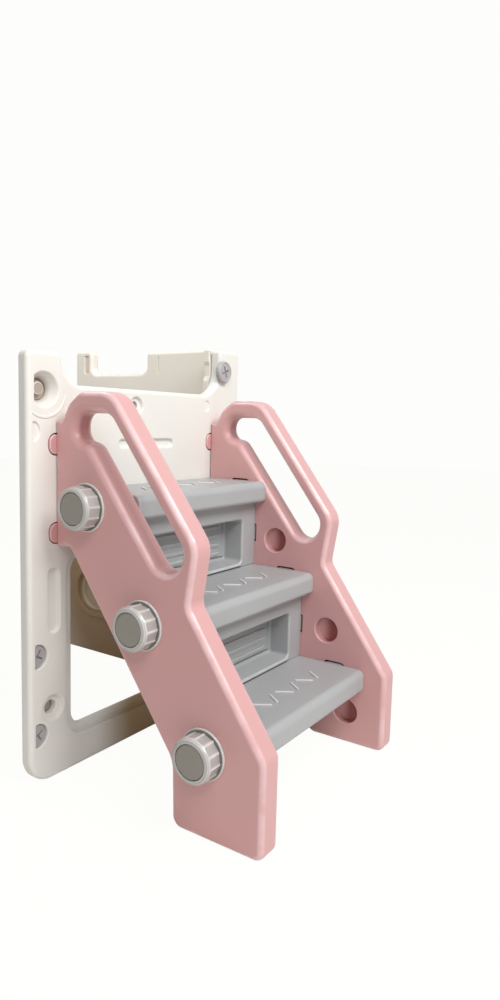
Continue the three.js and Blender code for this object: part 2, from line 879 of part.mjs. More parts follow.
function wallSolid() {
  const inner = endHalfWidth - wallThickness;
  let solid = plate(wallCorners(), alongX, inner, endHalfWidth, wallRound);
  const flangeInner = gateHalfWidth - flangeLap;
  const flangeLow = gateSill - flangeDrop;
  const flangeCorners = rectangle((-flangeInner - inner - wallRound) / 2,
    (flangeLow + rightPostTop) / 2, inner + wallRound - flangeInner, rightPostTop - flangeLow, 0);
  const flangeBack = wallFront + flangeThickness;
  solid = solid.add(plate(flangeCorners, alongY, wallFront, flangeBack, flangeRound));
  solid = solid.add(plate(bathCorners(bathRimWidth), alongX, inner - bathRimProud,
    inner + wallRound, bathRimProud));
  const bath = plate(bathCorners(0), alongX, inner - bathRimProud - cutOverrun, inner + bathDepth);
  solid = solid.subtract(bath);
  const grooveFront = wallFront + windowFront - windowGroove;
  solid = solid.subtract(box([inner - cutOverrun, grooveFront - windowGrooveWidth, windowSill],
    [inner + windowGrooveDepth, grooveFront, wallFrontTop + cutOverrun]));
  const boreRadius = shankRadius + fitGap;
  const screwX = endHalfWidth - pocketInset;
  pocketLevels.forEach((level) => {
    solid = solid.subtract(discAlongY(screwX, level, boreRadius, endThickness - cutOverrun,
      endThickness + wallShankLength + fitGap, boreRadius, boreSides));
  });
  const [gateX, gateZ] = gateScrewPlace();
  return solid.subtract(discAlongY(gateX, gateZ, boreRadius, endThickness - cutOverrun,
    endThickness + gateShankLength + fitGap, boreRadius, boreSides));
}

// Materials

const pink = new THREE.MeshStandardMaterial({ color: 0xdfa9a4, roughness: 0.5 });
const stepGrey = new THREE.MeshStandardMaterial({ color: 0xa9aaa8, roughness: 0.55 });
const knobGrey = new THREE.MeshStandardMaterial({ color: 0xbdb8b2, roughness: 0.5 });
const capGrey = new THREE.MeshStandardMaterial({ color: 0x8a857c, roughness: 0.55 });
const cream = new THREE.MeshStandardMaterial({ color: 0xefece4, roughness: 0.5 });
const screwGrey = new THREE.MeshStandardMaterial({ color: 0xa5a3a3, roughness: 0.5 });
const studGrey = new THREE.MeshStandardMaterial({ color: 0x8f8d8a, roughness: 0.55 });

const slideUnit = new THREE.Group();
slideUnit.position.y = -(unitRear + footFront) / 2;

function addPiece(parent, name, solid, material) {
  const piece = new THREE.Mesh(geometryOf(solid), material.clone());
  piece.name = name;
  parent.add(piece);
}

const stepNames = ['step_low', 'step_middle', 'step_top'];
stepNames.forEach((name, step) => addPiece(slideUnit, name, stepSolid(step), stepGrey));
addPiece(slideUnit, 'end_panel', endPanel(), cream);
addPiece(slideUnit, 'side_wall', wallSolid(), cream);
addPiece(slideUnit, 'gate_screw', gateScrew(), screwGrey);

Object.entries(sides).forEach(([sideName, side]) => {
  addPiece(slideUnit, `side_panel_${sideName}`, sidePanel(side), pink);
  pocketLevels.forEach((level, index) => {
    const name = `pocket_screw_${sideName}_${levels[index]}`;
    addPiece(slideUnit, name, pocketScrew(side, level), screwGrey);
  });
  levels.forEach((level, step) => {
    const [y, z] = knobPlace(step);
    const fastening = new THREE.Group();
    fastening.position.set(side * stepsWidth / 2, y, z);
    fastening.rotation.y = side * Math.PI / 2;
    slideUnit.add(fastening);
    const name = `${sideName}_${level}`;
    addPiece(fastening, `stud_${name}`, turned(studProfile(), boreSides), studGrey);
    addPiece(fastening, `washer_${name}`, turned(washerProfile(), roundSides), knobGrey);
    addPiece(fastening, `knob_${name}`, knobSolid(), knobGrey);
    addPiece(fastening, `cap_${name}`, turned(capProfile(), roundSides), capGrey);
  });
});

export default slideUnit;
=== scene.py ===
"""Looks of a toddler's climbing steps: treads between two side panels, with the end panel
and side wall that carry them. Pieces are in millimetres until they are made, the camera and
lamps in metres."""

import math

import bmesh
import bpy
import numpy as np
from mathutils import Matrix, Vector
from mathutils.geometry import tessellate_polygon


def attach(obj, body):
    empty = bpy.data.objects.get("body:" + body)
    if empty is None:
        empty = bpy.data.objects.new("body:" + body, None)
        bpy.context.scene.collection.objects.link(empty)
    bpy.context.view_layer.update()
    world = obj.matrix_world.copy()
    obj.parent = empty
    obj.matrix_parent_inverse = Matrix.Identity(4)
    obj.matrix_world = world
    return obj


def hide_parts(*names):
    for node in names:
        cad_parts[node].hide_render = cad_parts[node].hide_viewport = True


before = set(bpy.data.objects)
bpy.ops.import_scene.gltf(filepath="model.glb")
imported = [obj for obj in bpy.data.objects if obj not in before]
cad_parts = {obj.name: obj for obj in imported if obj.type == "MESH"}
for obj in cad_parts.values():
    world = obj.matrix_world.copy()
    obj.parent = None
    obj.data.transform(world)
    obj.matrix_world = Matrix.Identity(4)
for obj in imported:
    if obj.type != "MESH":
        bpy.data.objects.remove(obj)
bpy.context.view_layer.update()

# Side panels
# Each is one hollow blow-moulded polyethylene panel, 43 mm thick, with a slanted hand slot
# through it. Its inner face has pockets for the ends of the steps and blind dimples, and two
# plugs on its back edge sit in sockets of the end panel. Knobs clamp it to the steps.

LENGTH_UNIT = 0.001  # a millimetre, in metres
ARC_STEP = 0.075  # radians between an outline's points
FILLET_STEP = 0.2  # radians between a profile's points
WELD_DECIMALS = 4
ROUND_GAP = 0.01  # keeps two equal roundings that meet apart


def rounded(corners, closed=True, step=ARC_STEP):
    """Line through [x, y, radius] corners. A corner is turned by an arc: its points are the
    arc's centre plus the radius, turned evenly from one side to the other. Gives the points,
    the normals to the right of the way along, and the bend: 1 at the middle of an arc that
    turns left, -1 of one that turns right, 0 at its ends."""
    spots = np.array([corner[:2] for corner in corners], float)
    points, normals, bends = [], [], []
    last = len(corners) - 1
    for index, (_, _, radius) in enumerate(corners):
        before = spots[index] - spots[index - 1]
        after = spots[(index + 1) % len(corners)] - spots[index]
        if not closed and index in (0, last):
            before = after = after if index == 0 else before
        before = before / np.linalg.norm(before)
        after = after / np.linalg.norm(after)
        cross = before[0] * after[1] - before[1] * after[0]
        turn = math.atan2(cross, before @ after)
        if radius == 0 or abs(turn) < 1e-6:
            middle = before + after
            middle /= np.linalg.norm(middle)
            points.append(spots[index][None])
            normals.append(np.array([[middle[1], -middle[0]]]) / math.cos(turn / 2))
            bends.append(np.zeros(1))
            continue
        sense = math.copysign(1, turn)
        start = spots[index] - before * radius * math.tan(abs(turn) / 2)
        arm = sense * radius * np.array([before[1], -before[0]])
        share = np.linspace(0, 1, max(2, math.ceil(abs(turn) / step) + 1))
        cos, sin = np.cos(share * turn), np.sin(share * turn)
        turned = np.stack([cos * arm[0] - sin * arm[1], sin * arm[0] + cos * arm[1]], axis=1)
        points.append(start - arm + turned)
        normals.append(turned * sense / radius)
        bends.append(sense * np.sin(math.pi * share))
    return np.concatenate(points), np.concatenate(normals), np.concatenate(bends)


def grid_faces(rows, columns):
    """Two triangles between each two neighbours along a grid's rows and columns, where the
    last column is joined to the first."""
    row, column = np.meshgrid(np.arange(rows - 1), np.arange(columns), indexing="ij")
    here = row * columns + column
    beside = row * columns + (column + 1) % columns
    above, across = here + columns, beside + columns
    return np.concatenate([np.stack([here, beside, across], -1).reshape(-1, 3),
                           np.stack([here, across, above], -1).reshape(-1, 3)])


def swept(outline, profile, scale=None, towards=None):
    """Profile of [offset, level, radius] corners carried round an outline: a point is the
    outline's point plus its normal times the offset, at the level. A scale for each point of
    the outline narrows or widens the profile's roundings there, from its nearer face. With a
    centre and a radius to move towards, the offset is a share of the way from that centre.
    Gives the shape and its first and last ring."""
    points, normals, _ = outline
    line, slopes, bends = rounded(profile, closed=False, step=FILLET_STEP)
    share = np.ones(len(points)) if scale is None else scale
    offset = line[:, 0, None] * share
    heights = line[:, 1]
    face = np.where(heights > heights.mean(), heights.max(), heights.min())[:, None]
    level = face + (heights[:, None] - face) * share
    way = normals if towards is None else (points - towards[:2]) / towards[2]
    ring = points[None] + way[None] * offset[..., None]
    unit = normals / np.linalg.norm(normals, axis=1)[:, None]
    across = unit[None] * slopes[:, 0, None, None]
    up = np.broadcast_to(slopes[:, 1, None, None], (*across.shape[:2], 1))
    vertices = np.concatenate([ring, level[..., None]], axis=2)
    shape = {
        "points": vertices.reshape(-1, 3),
        "normals": np.concatenate([across, up], axis=2).reshape(-1, 3),
        "bend": np.repeat(bends, len(points)),
        "faces": grid_faces(len(line), len(points)),
    }
    return shape, vertices[0], vertices[-1]


def slab_side(start, end, edge, outwards=1):
    """Profile of a slab's side from one level to the other, rounded by the edge at both. It
    laps over the faces inwards, or with outwards -1, for a hole's side, away from the hole."""
    lap = -outwards * edge
    return [(lap, start, 0), (0, start, edge - ROUND_GAP), (0, end, edge - ROUND_GAP),
            (lap, end, 0)]


def eased(share):
    """Smooth step from 0 to 1: three times the share's square less twice its cube."""
    return share * share * (3 - 2 * share)


def filled(loops, facing):
    """Flat face between a first loop of points and any others inside it."""
    vertices = np.concatenate(loops)
    faces = tessellate_polygon([[Vector((x, y, 0)) for x, y, _ in loop] for loop in loops])
    return {"points": vertices, "normals": np.tile([0.0, 0.0, facing], (len(vertices), 1)),
            "bend": np.zeros(len(vertices)), "faces": np.array(faces, int)}


def joined(shapes):
    """Shapes one after another in one, each one's faces counted on from the last point."""
    starts = np.cumsum([0] + [len(shape["points"]) for shape in shapes[:-1]])
    whole = {key: np.concatenate([shape[key] for shape in shapes])
             for key in ("points", "normals", "bend")}
    whole["faces"] = np.concatenate([shape["faces"] + start
                                     for shape, start in zip(shapes, starts)])
    return whole


def placed(shape, across, up, out, origin=(0, 0, 0)):
    """A shape's own x, y and level laid along three directions from an origin."""
    basis = np.array([across, up, out], float)
    return {**shape, "points": shape["points"] @ basis + np.array(origin, float),
            "normals": shape["normals"] @ basis}


def make(name, shape, material, body, nodes):
    """Piece from a shape: points that meet are joined, faces are turned outwards, and the
    bend, which also carries painted shade and highlight where it was taken past -1 and 1, goes
    into an attribute that the finishes read."""
    _, first, member = np.unique(shape["points"].round(WELD_DECIMALS), axis=0,
                                 return_index=True, return_inverse=True)
    member = member.ravel()
    points = shape["points"][first]
    normals = np.zeros_like(points)
    np.add.at(normals, member, shape["normals"])
    normals /= np.maximum(np.linalg.norm(normals, axis=1), 1e-9)[:, None]
    faces = member[shape["faces"]]
    faces = faces[(faces[:, 0] != faces[:, 1]) & (faces[:, 1] != faces[:, 2])
                  & (faces[:, 2] != faces[:, 0])]
    mesh = bpy.data.meshes.new(name)
    mesh.from_pydata((points * LENGTH_UNIT).tolist(), [], faces.tolist())
    shell = bmesh.new()
    shell.from_mesh(mesh)
    bmesh.ops.recalc_face_normals(shell, faces=shell.faces)
    shell.to_mesh(mesh)
    shell.free()
    mesh.attributes.new("bend", "FLOAT", "POINT").data.foreach_set(
        "value", shape["bend"][first].astype(np.float32))
    mesh.shade_smooth()
    mesh.normals_split_custom_set_from_vertices(normals.tolist())
    mesh.materials.append(material)
    piece = bpy.data.objects.new(name, mesh)
    bpy.context.scene.collection.objects.link(piece)
    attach(piece, body)
    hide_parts(*nodes)


def group_of(name, inputs, outputs):
    """Empty node group with float inputs and float or vector outputs."""
    group = bpy.data.node_groups.new(name, "ShaderNodeTree")
    for label in inputs:
        group.interface.new_socket(label, in_out="INPUT", socket_type="NodeSocketFloat")
    for label, kind in outputs.items():
        group.interface.new_socket(label, in_out="OUTPUT", socket_type=kind)
    return group, group.nodes.new("NodeGroupInput"), group.nodes.new("NodeGroupOutput")


def noise(tree, scale, detail, vector, roughness=0.5):
    """Noise from 0 to 1, its scale a number or another node's output."""
    node = tree.nodes.new("ShaderNodeTexNoise")
    node.inputs["Detail"].default_value = detail
    node.inputs["Roughness"].default_value = roughness
    if isinstance(scale, (int, float)):
        node.inputs["Scale"].default_value = scale
    else:
        tree.links.new(scale, node.inputs["Scale"])
    tree.links.new(vector, node.inputs["Vector"])
    return node.outputs["Fac"]


def remapped(tree, value, low, high, to_low=0.0, to_high=1.0):
    """Smooth step of a value between two limits, onto the span between two others."""
    node = tree.nodes.new("ShaderNodeMapRange")
    node.interpolation_type = "SMOOTHSTEP"
    tree.links.new(value, node.inputs["Value"])
    for label, number in zip(("From Min", "From Max", "To Min", "To Max"),
                             (low, high, to_low, to_high)):
        node.inputs[label].default_value = number
    return node.outputs["Result"]


def combined(tree, operation, first, second):
    """Sum, product or other operation on two numbers or outputs."""
    node = tree.nodes.new("ShaderNodeMath")
    node.operation = operation
    for socket, value in zip(node.inputs, (first, second)):
        if isinstance(value, (int, float)):
            socket.default_value = value
        else:
            tree.links.new(value, socket)
    return node.outputs[0]


WAVE_SCALE = 7.0
SCRATCH_TURN = (0.5, 0.3, 0.9)
SCRATCH_STRETCH = (14.0, 420.0, 420.0)


SKIN = ("Grain Scale", "Grain Depth", "Wave Depth")
MARKS = ("Rub Amount", "Dust Amount", "Scuff Amount")


def mould_skin_group():
    """Skin that a sandblasted mould leaves: a fine grain, over the slow waves of a wall that
    shrank while it cooled. Gives a normal and the grain's own height."""
    group, given, result = group_of(
        "mould_skin", SKIN, {"Normal": "NodeSocketVector", "Grain": "NodeSocketFloat"})
    place = group.nodes.new("ShaderNodeTexCoord").outputs["Object"]
    wave = noise(group, WAVE_SCALE, 1.0, place)
    grain = noise(group, given.outputs["Grain Scale"], 3.0, place, 0.6)
    slow = group.nodes.new("ShaderNodeBump")
    fine = group.nodes.new("ShaderNodeBump")
    group.links.new(wave, slow.inputs["Height"])
    group.links.new(given.outputs["Wave Depth"], slow.inputs["Distance"])
    group.links.new(grain, fine.inputs["Height"])
    group.links.new(given.outputs["Grain Depth"], fine.inputs["Distance"])
    group.links.new(slow.outputs["Normal"], fine.inputs["Normal"])
    group.links.new(fine.outputs["Normal"], result.inputs["Normal"])
    group.links.new(grain, result.inputs["Grain"])
    return group


def use_marks_group():
    """Marks of use, and painted light. Rub is where hands and shoes have polished the convex
    bends, Dust what has settled in the hollow ones, Mottle the uneven colour of a thin moulded
    wall, and Scuff
    a few fine scratches. The two outputs for a bend taken past -1 and 1 are painted light:
    shade painted inside blind hollows and gaps, and highlight painted along ribs, ridges and rims."""
    group, given, result = group_of("use_marks", MARKS, dict.fromkeys(
        ("Rub", "Dust", "Mottle", "Scuff", "Painted Shade", "Painted Highlight"), "NodeSocketFloat"))
    place = group.nodes.new("ShaderNodeTexCoord").outputs["Object"]
    bend = group.nodes.new("ShaderNodeAttribute")
    bend.attribute_name = "bend"
    patches = remapped(group, noise(group, 26.0, 4.0, place), 0.35, 0.65, 0.35, 1.0)
    convex = remapped(group, bend.outputs["Fac"], 0.1, 0.9)
    inward = combined(group, "MULTIPLY", bend.outputs["Fac"], -1.0)
    hollow = remapped(group, inward, 0.05, 0.8)
    # painted shade inside blind hollows and gaps, and painted highlight along ribs, ridges and
    # rims
    group.links.new(remapped(group, inward, 1.0, 4.0), result.inputs["Painted Shade"])
    group.links.new(remapped(group, bend.outputs["Fac"], 1.0, 4.0), result.inputs["Painted Highlight"])
    rub = combined(group, "MULTIPLY", convex, patches)
    dust = combined(group, "MULTIPLY", hollow, patches)
    group.links.new(remapped(group, noise(group, 5.0, 3.0, place), 0.3, 0.7),
                    result.inputs["Mottle"])
    stretch = group.nodes.new("ShaderNodeMapping")
    stretch.inputs["Rotation"].default_value = SCRATCH_TURN
    stretch.inputs["Scale"].default_value = SCRATCH_STRETCH
    group.links.new(place, stretch.inputs["Vector"])
    lines = remapped(group, noise(group, 1.0, 2.0, stretch.outputs["Vector"]), 0.68, 0.76)
    for label, mark in (("Rub", rub), ("Dust", dust), ("Scuff", lines)):
        amount = given.outputs[f"{label} Amount"]
        group.links.new(combined(group, "MULTIPLY", mark, amount), result.inputs[label])
    return group


mould_skin = mould_skin_group()
use_marks = use_marks_group()


def mixed(tree, amount, first, second):
    """Colour between two, by a value from 0 to 1."""
    node = tree.nodes.new("ShaderNodeMix")
    node.data_type = "RGBA"
    tree.links.new(amount, node.inputs["Factor"])
    for label, color in (("A", first), ("B", second)):
        socket = [s for s in node.inputs if s.name == label and s.type == "RGBA"][0]
        if isinstance(color, tuple):
            socket.default_value = (*color, 1.0)
        else:
            tree.links.new(color, socket)
    return [s for s in node.outputs if s.type == "RGBA"][0]


def linear(code):
    """Linear colour of an sRGB code such as 0xDBA8A7."""
    parts = [((code >> shift) & 255) / 255 for shift in (16, 8, 0)]
    return tuple(p / 12.92 if p <= 0.04045 else ((p + 0.055) / 1.055) ** 2.4 for p in parts)


PLASTIC_IOR = 1.52
COAT_ROUGHNESS = 0.22
MOTTLE_SHARE = 0.35
SCUFF_SHARE = 0.5
RUB_POLISH = -0.12
GRAIN_ROUGHNESS = 0.08


def plastic(name, base, pale, deep, hollow, roughness, skin, marks, coat=0.0, painted_shade=None):
    """Moulded plastic. Its colour goes from base a little to pale where rubbed, and to pale as
    painted highlight along ribs, ridges and rims; to deep where dusty or where the wall is thin,
    and on to hollow, a painted shade, inside a blind recess or gap. Its roughness falls where
    rubbed. Skin and marks are values for the inputs of the two groups. The last argument paints
    shade round a spot: it is the spot, the weight of each direction away from it, two distances
    between which the colour goes from the shade colour back to its own, and that shade colour."""
    material = bpy.data.materials.new(name)
    material.use_nodes = True
    tree = material.node_tree
    shader = tree.nodes["Principled BSDF"]
    surface = tree.nodes.new("ShaderNodeGroup")
    surface.node_tree = mould_skin
    wear_and_painted_light = tree.nodes.new("ShaderNodeGroup")
    wear_and_painted_light.node_tree = use_marks
    for node, labels, values in ((surface, SKIN, skin), (wear_and_painted_light, MARKS, marks)):
        for label, value in zip(labels, values):
            node.inputs[label].default_value = value
    thin = combined(tree, "MULTIPLY", wear_and_painted_light.outputs["Mottle"], MOTTLE_SHARE)
    color = mixed(tree, thin, linear(base), linear(deep))
    # Dust and Rub are wear; the last two mix in painted highlight and painted shade
    for label, tone in (("Dust", deep), ("Rub", pale), ("Painted Highlight", pale), ("Painted Shade", hollow)):
        color = mixed(tree, wear_and_painted_light.outputs[label], color, linear(tone))
    # Painted shade: the colour darkens towards the shade colour near the spot
    if painted_shade:
        spot, weight, near, far, dusk = painted_shade
        aside = tree.nodes.new("ShaderNodeMapping")
        aside.inputs["Scale"].default_value = weight
        aside.inputs["Location"].default_value = [-w * s for w, s in zip(weight, spot)]
        away = tree.nodes.new("ShaderNodeVectorMath")
        away.operation = "LENGTH"
        tree.links.new(tree.nodes.new("ShaderNodeTexCoord").outputs["Object"],
                       aside.inputs["Vector"])
        tree.links.new(aside.outputs["Vector"], away.inputs[0])
        shade = remapped(tree, away.outputs["Value"], near, far, 1.0, 0.0)
        color = mixed(tree, shade, color, linear(dusk))
    scuffed = combined(tree, "MULTIPLY", wear_and_painted_light.outputs["Scuff"], SCUFF_SHARE)
    color = mixed(tree, scuffed, color, linear(pale))
    tree.links.new(color, shader.inputs["Base Color"])
    polished = combined(tree, "MULTIPLY", wear_and_painted_light.outputs["Rub"], RUB_POLISH)
    grainy = combined(tree, "MULTIPLY", surface.outputs["Grain"], GRAIN_ROUGHNESS)
    rough = combined(tree, "ADD", combined(tree, "ADD", polished, grainy), roughness)
    tree.links.new(rough, shader.inputs["Roughness"])
    tree.links.new(surface.outputs["Normal"], shader.inputs["Normal"])
    shader.inputs["IOR"].default_value = PLASTIC_IOR
    shader.inputs["Coat Weight"].default_value = coat
    shader.inputs["Coat Roughness"].default_value = COAT_ROUGHNESS
    return material


# Its pale rubbed edges are partly wear and partly painted highlight along the rounded edges; its
# hollow colour is painted shade in dimples, the slot and gaps.
pink_plastic = plastic(
    "pink_plastic", 0xDBA8A7, 0xF0CECF, 0xD29D9B, 0x9A4B49, 0.34,
    (800.0, 0.00004, 0.0009), (0.7, 0.35, 0.15), 0.35)

PANEL_THICKNESS = 43
PANEL_EDGE = 10
INNER_FACE = 182
FLOOR_TO_TREAD = 149.5
STEP_RISE = 167
STEP_RUN = 113.3
TREAD_THICKNESS = 40
TREAD_MIDDLE = 64  # behind the nose
TOP_NOSE = -142
END_FACE = -45.1
BACK_EDGE = -1.8
KNOB_RISE = 166
KNOB_RUN = 118
panel_middle = INNER_FACE + PANEL_THICKNESS / 2
step_levels = ("low", "middle", "top")
tread_tops = [FLOOR_TO_TREAD + step * STEP_RISE for step in range(3)]
nose_fronts = [TOP_NOSE - (2 - step) * STEP_RUN for step in range(3)]
key_places = [(nose + TREAD_MIDDLE, top - TREAD_THICKNESS / 2)
              for nose, top in zip(nose_fronts, tread_tops)]
knob_places = [(nose_fronts[1] + 66 + turn * KNOB_RUN, tread_tops[1] - 20.5 + turn * KNOB_RISE)
               for turn in (-1, 0, 1)]
riser_key_places = [
    (nose_fronts[step] + 38, tread_tops[step] - (STEP_RISE + TREAD_THICKNESS) / 2)
    for step in (1, 2)]

CIRCLE_POINTS = 48
DIMPLE_RADIUS = 24
DIMPLE_DEPTH = 14
STUD_HOLE_RADIUS = 10.5
STUD_HOLE_DEPTH = 12
TREAD_KEY = (38, 40)
TREAD_KEY_POCKET = (42.4, 46.4)
RISER_KEY = (25, 31)
RISER_KEY_POCKET = (32.4, 35.4)
KEY_REACH = 9
KEY_POCKET_DEPTH = 9.5
PLUG = (PANEL_THICKNESS + 26, 32)


def ring(x, y, radius, count=CIRCLE_POINTS):
    """Circle: its centre plus the radius at even angles, with the normals outwards."""
    angle = np.arange(count) * 2 * math.pi / count
    unit = np.stack([np.cos(angle), np.sin(angle)], axis=1)
    return np.array([x, y]) + unit * radius, unit, np.zeros(count)


def block(x, y, width, height, radius):
    """Outline of a rectangle with rounded corners about a centre."""
    near, far = (x - width / 2, y - height / 2), (x + width / 2, y + height / 2)
    return rounded([(near[0], near[1], radius), (far[0], near[1], radius),
                    (far[0], far[1], radius), (near[0], far[1], radius)])


def shade_painted_by_depth(shape, face, depth, amount):
    """Painted shade: takes a shape's bend down by the amount times the square of its share of the
    depth, so it darkens further in.
    """
    share = np.clip((face - shape["points"][:, 2]) / depth, 0, 1)
    shape["bend"] = shape["bend"] - amount * share ** 2
    return shape


def gap_shade_painted(parts, face):
    """Parts with painted shade in the dark gap round a key or plug."""
    return [shade_painted_by_depth(part, face, 2, 4) for part in parts]


def pocket(outline, depth, face, lip, floor_round, draft=0.5, hollow=0.0, towards=None):
    """Blind recess in a face: a rounded lip, a wall that leans in by the draft, a rounded
    foot and a flat floor. Hollow paints shade into it, darker with the depth. Gives its shapes and
    the loop that the face is cut to."""
    shape, mouth, foot = swept(outline, [
        (lip * 1.5, face, 0), (0, face, lip), (-draft, face - depth, floor_round),
        (-draft - 1.5 * floor_round, face - depth, 0)], towards=towards)
    parts = [shape, filled([foot], 1.0)]
    return [shade_painted_by_depth(part, face, depth, hollow) for part in parts], mouth


def boss(outline, low, high, edge, foot=0.0):
    """Raised block with a rounded top edge and a foot that may flare, closed at both ends."""
    shape, base, top = swept(outline, [(-edge * 1.2, low, 0), (foot, low, edge * 0.4),
                                       (0, high, edge), (-edge * 1.5, high, 0)])
    return [shape, filled([base], -1.0), filled([top], 1.0)]


def panel_outline():
    """Side of the panel: foot, underside, back edge, top bar and front, as corners."""
    return rounded([
        (-410.1, 0, 15), (-249.1, 0, 18), (-246.1, 101, 45), (-28, 393, 12),
        (BACK_EDGE, 393, 3), (BACK_EDGE, 596.2, 3), (-11, 596.2, 3), (-26, 622.9, 30),
        (-51.8, 641.5, 30), (-120.5, 641.5, 50), (-288, 424, 42), (-274, 336, 22),
        (-410.1, 144, 22)])


def hand_slot():
    """Slot along the slanted hand bar: its sides are the front edge's line moved inwards by
    the bar's width and by that and the slot's, between the top bar and a round end."""
    top, low = np.array([-120.5, 641.5]), np.array([-288.0, 424.0])
    bar, width, slot_top, leg_bottom = 24.5, 61.6, 608, 563
    along = (low - top) / np.linalg.norm(low - top)
    inward = np.array([-along[1], along[0]])
    reach = 0.91 * np.linalg.norm(low - top) + width / 2

    def at_height(offset, z):
        start = top + inward * offset
        return start + along * (z - start[1]) / along[1]

    def end(offset):
        return top + inward * offset + along * reach

    return rounded([
        (-43, slot_top, 21), (*at_height(bar, slot_top), 28), (*end(bar), 29.6),
        (*end(bar + width), 29.6), (*at_height(bar + width, leg_bottom), 24),
        (-43, leg_bottom, 21)])


def side_panel_shape():
    """Panel between its two faces, carried round its outline and its slot. The outline's
    rounding narrows to a quarter in the last 12 mm before the back edge, the slot's widens to
    one and a half times towards the elbow at the top, and both get painted shade there. Pockets
    and dimples are sunk into the inner face, with painted shade inside, blind stud holes into the
    outer one."""
    half = PANEL_THICKNESS / 2
    outline = panel_outline()
    from_back = np.clip((-2 - outline[0][:, 0]) / 12, 0, 1)
    rim, outer_loop, inner_loop = swept(outline, slab_side(-half, half, PANEL_EDGE),
                                        0.25 + 0.75 * eased(from_back))
    # painted shade in the gap where the back edge meets the end panel
    rim["bend"] = rim["bend"] - 5 * np.clip((rim["points"][:, 0] + 2.4) / 1.2, 0, 1)
    slot_line = hand_slot()
    flare = np.clip((slot_line[0][:, 0] + 130) / 70, 0, 1)
    slot, inner_slot, outer_slot = swept(slot_line, slab_side(half, -half, PANEL_EDGE, -1),
                                         1 + 0.5 * eased(flare))
    within = 1 - np.clip(np.abs(slot["points"][:, 2]) / half, 0, 1)
    near_elbow = np.clip((slot["points"][:, 0] + 90) / 40, 0, 1)
    # painted shade inside the slot near the elbow
    slot["bend"] = slot["bend"] - 3.2 * near_elbow * np.sqrt(within)
    shapes, inner_holes, outer_holes = [rim, slot], [inner_slot], [outer_slot]
    dimples = [(-332.1, 61.5), (-285.3, 210.0), (-165.0, 369.9)]
    recesses = [pocket(ring(y, z, DIMPLE_RADIUS), DIMPLE_DEPTH, half, 2.5, 3, 1.5)
                for y, z in dimples]
    # painted shade in the dimples, darkest on their front side
    for (y, _), (parts, _) in zip(dimples, recesses):
        for part in parts:
            sunk = np.clip((half - part["points"][:, 2]) / 9, 0, 1)
            ahead = (y - part["points"][:, 0]) / DIMPLE_RADIUS
            part["bend"] = part["bend"] - sunk * (3.1 + 3.2 * ahead)
    recesses += [pocket(block(y, z, *TREAD_KEY_POCKET, 7), KEY_POCKET_DEPTH, half, 0.6, 1)
                 for y, z in key_places]
    recesses += [pocket(block(y, z, *RISER_KEY_POCKET, 2.5), KEY_POCKET_DEPTH, half, 0.6, 1)
                 for y, z in riser_key_places]
    # painted shade in the gaps round the keys
    for parts, _ in recesses[len(dimples):]:
        gap_shade_painted(parts, half)
    for parts, mouth in recesses:
        shapes += parts
        inner_holes.append(mouth)
    shapes.append(filled([inner_loop, *inner_holes], 1.0))
    back = []
    for y, z in knob_places:
        parts, mouth = pocket(ring(y, z, STUD_HOLE_RADIUS, CIRCLE_POINTS // 2),
                              STUD_HOLE_DEPTH, half, 0.8, 1)
        back += parts
        outer_holes.append(mouth * [1, 1, -1])
    turned_back = placed(joined(back), (1, 0, 0), (0, 1, 0), (0, 0, -1))
    return joined([*shapes, turned_back, filled([outer_loop, *outer_holes], -1.0)])


panel_shape = side_panel_shape()
plug_levels = (557.2, 414.0)
front_on = ((1, 0, 0), (0, 0, 1), (0, -1, 0))
side_on = ((0, 1, 0), (0, 0, 1), (1, 0, 0))
for side_name, side in (("left", -1), ("right", 1)):
    body_shape = placed(panel_shape, (0, 1, 0), (0, 0, 1), (-side, 0, 0),
                        (side * panel_middle, END_FACE, 0))
    plugs = [placed(joined(boss(block(side * panel_middle, z, *PLUG, 13), -18, 1.5, 2.5)),
                    *front_on, (0, END_FACE, 0)) for z in plug_levels]
    make(f"panel_{side_name}", joined([body_shape, *plugs]), pink_plastic, "frame",
         [f"side_panel_{side_name}"])

# Steps
# Each step is a hollow tread with a round nose, moulded in one with the riser under it. Keys
# on its ends sit in the side panels, and low slanted ribs on the tread give a shoe some hold.

step_plastic = plastic(
    "step_plastic", 0xAEB0B1, 0xDADCDC, 0xA2A4A5, 0x75787C, 0.4,
    (700.0, 0.00008, 0.0008), (0.5, 0.4, 0.35), 0.2)

STEP_HALF = 181.7
TREAD_EDGE = 3.9
NOSE_OVERHANG = 25
RISER_DEPTH = 55
RECESS_WIDTH = 276
RECESS_DEPTH = 42
LOW_CHAMFER = 30
RIB = (3.4, 32)
RIB_PITCH = 34
RIB_LEAN = math.pi / 5
SLATS = 4


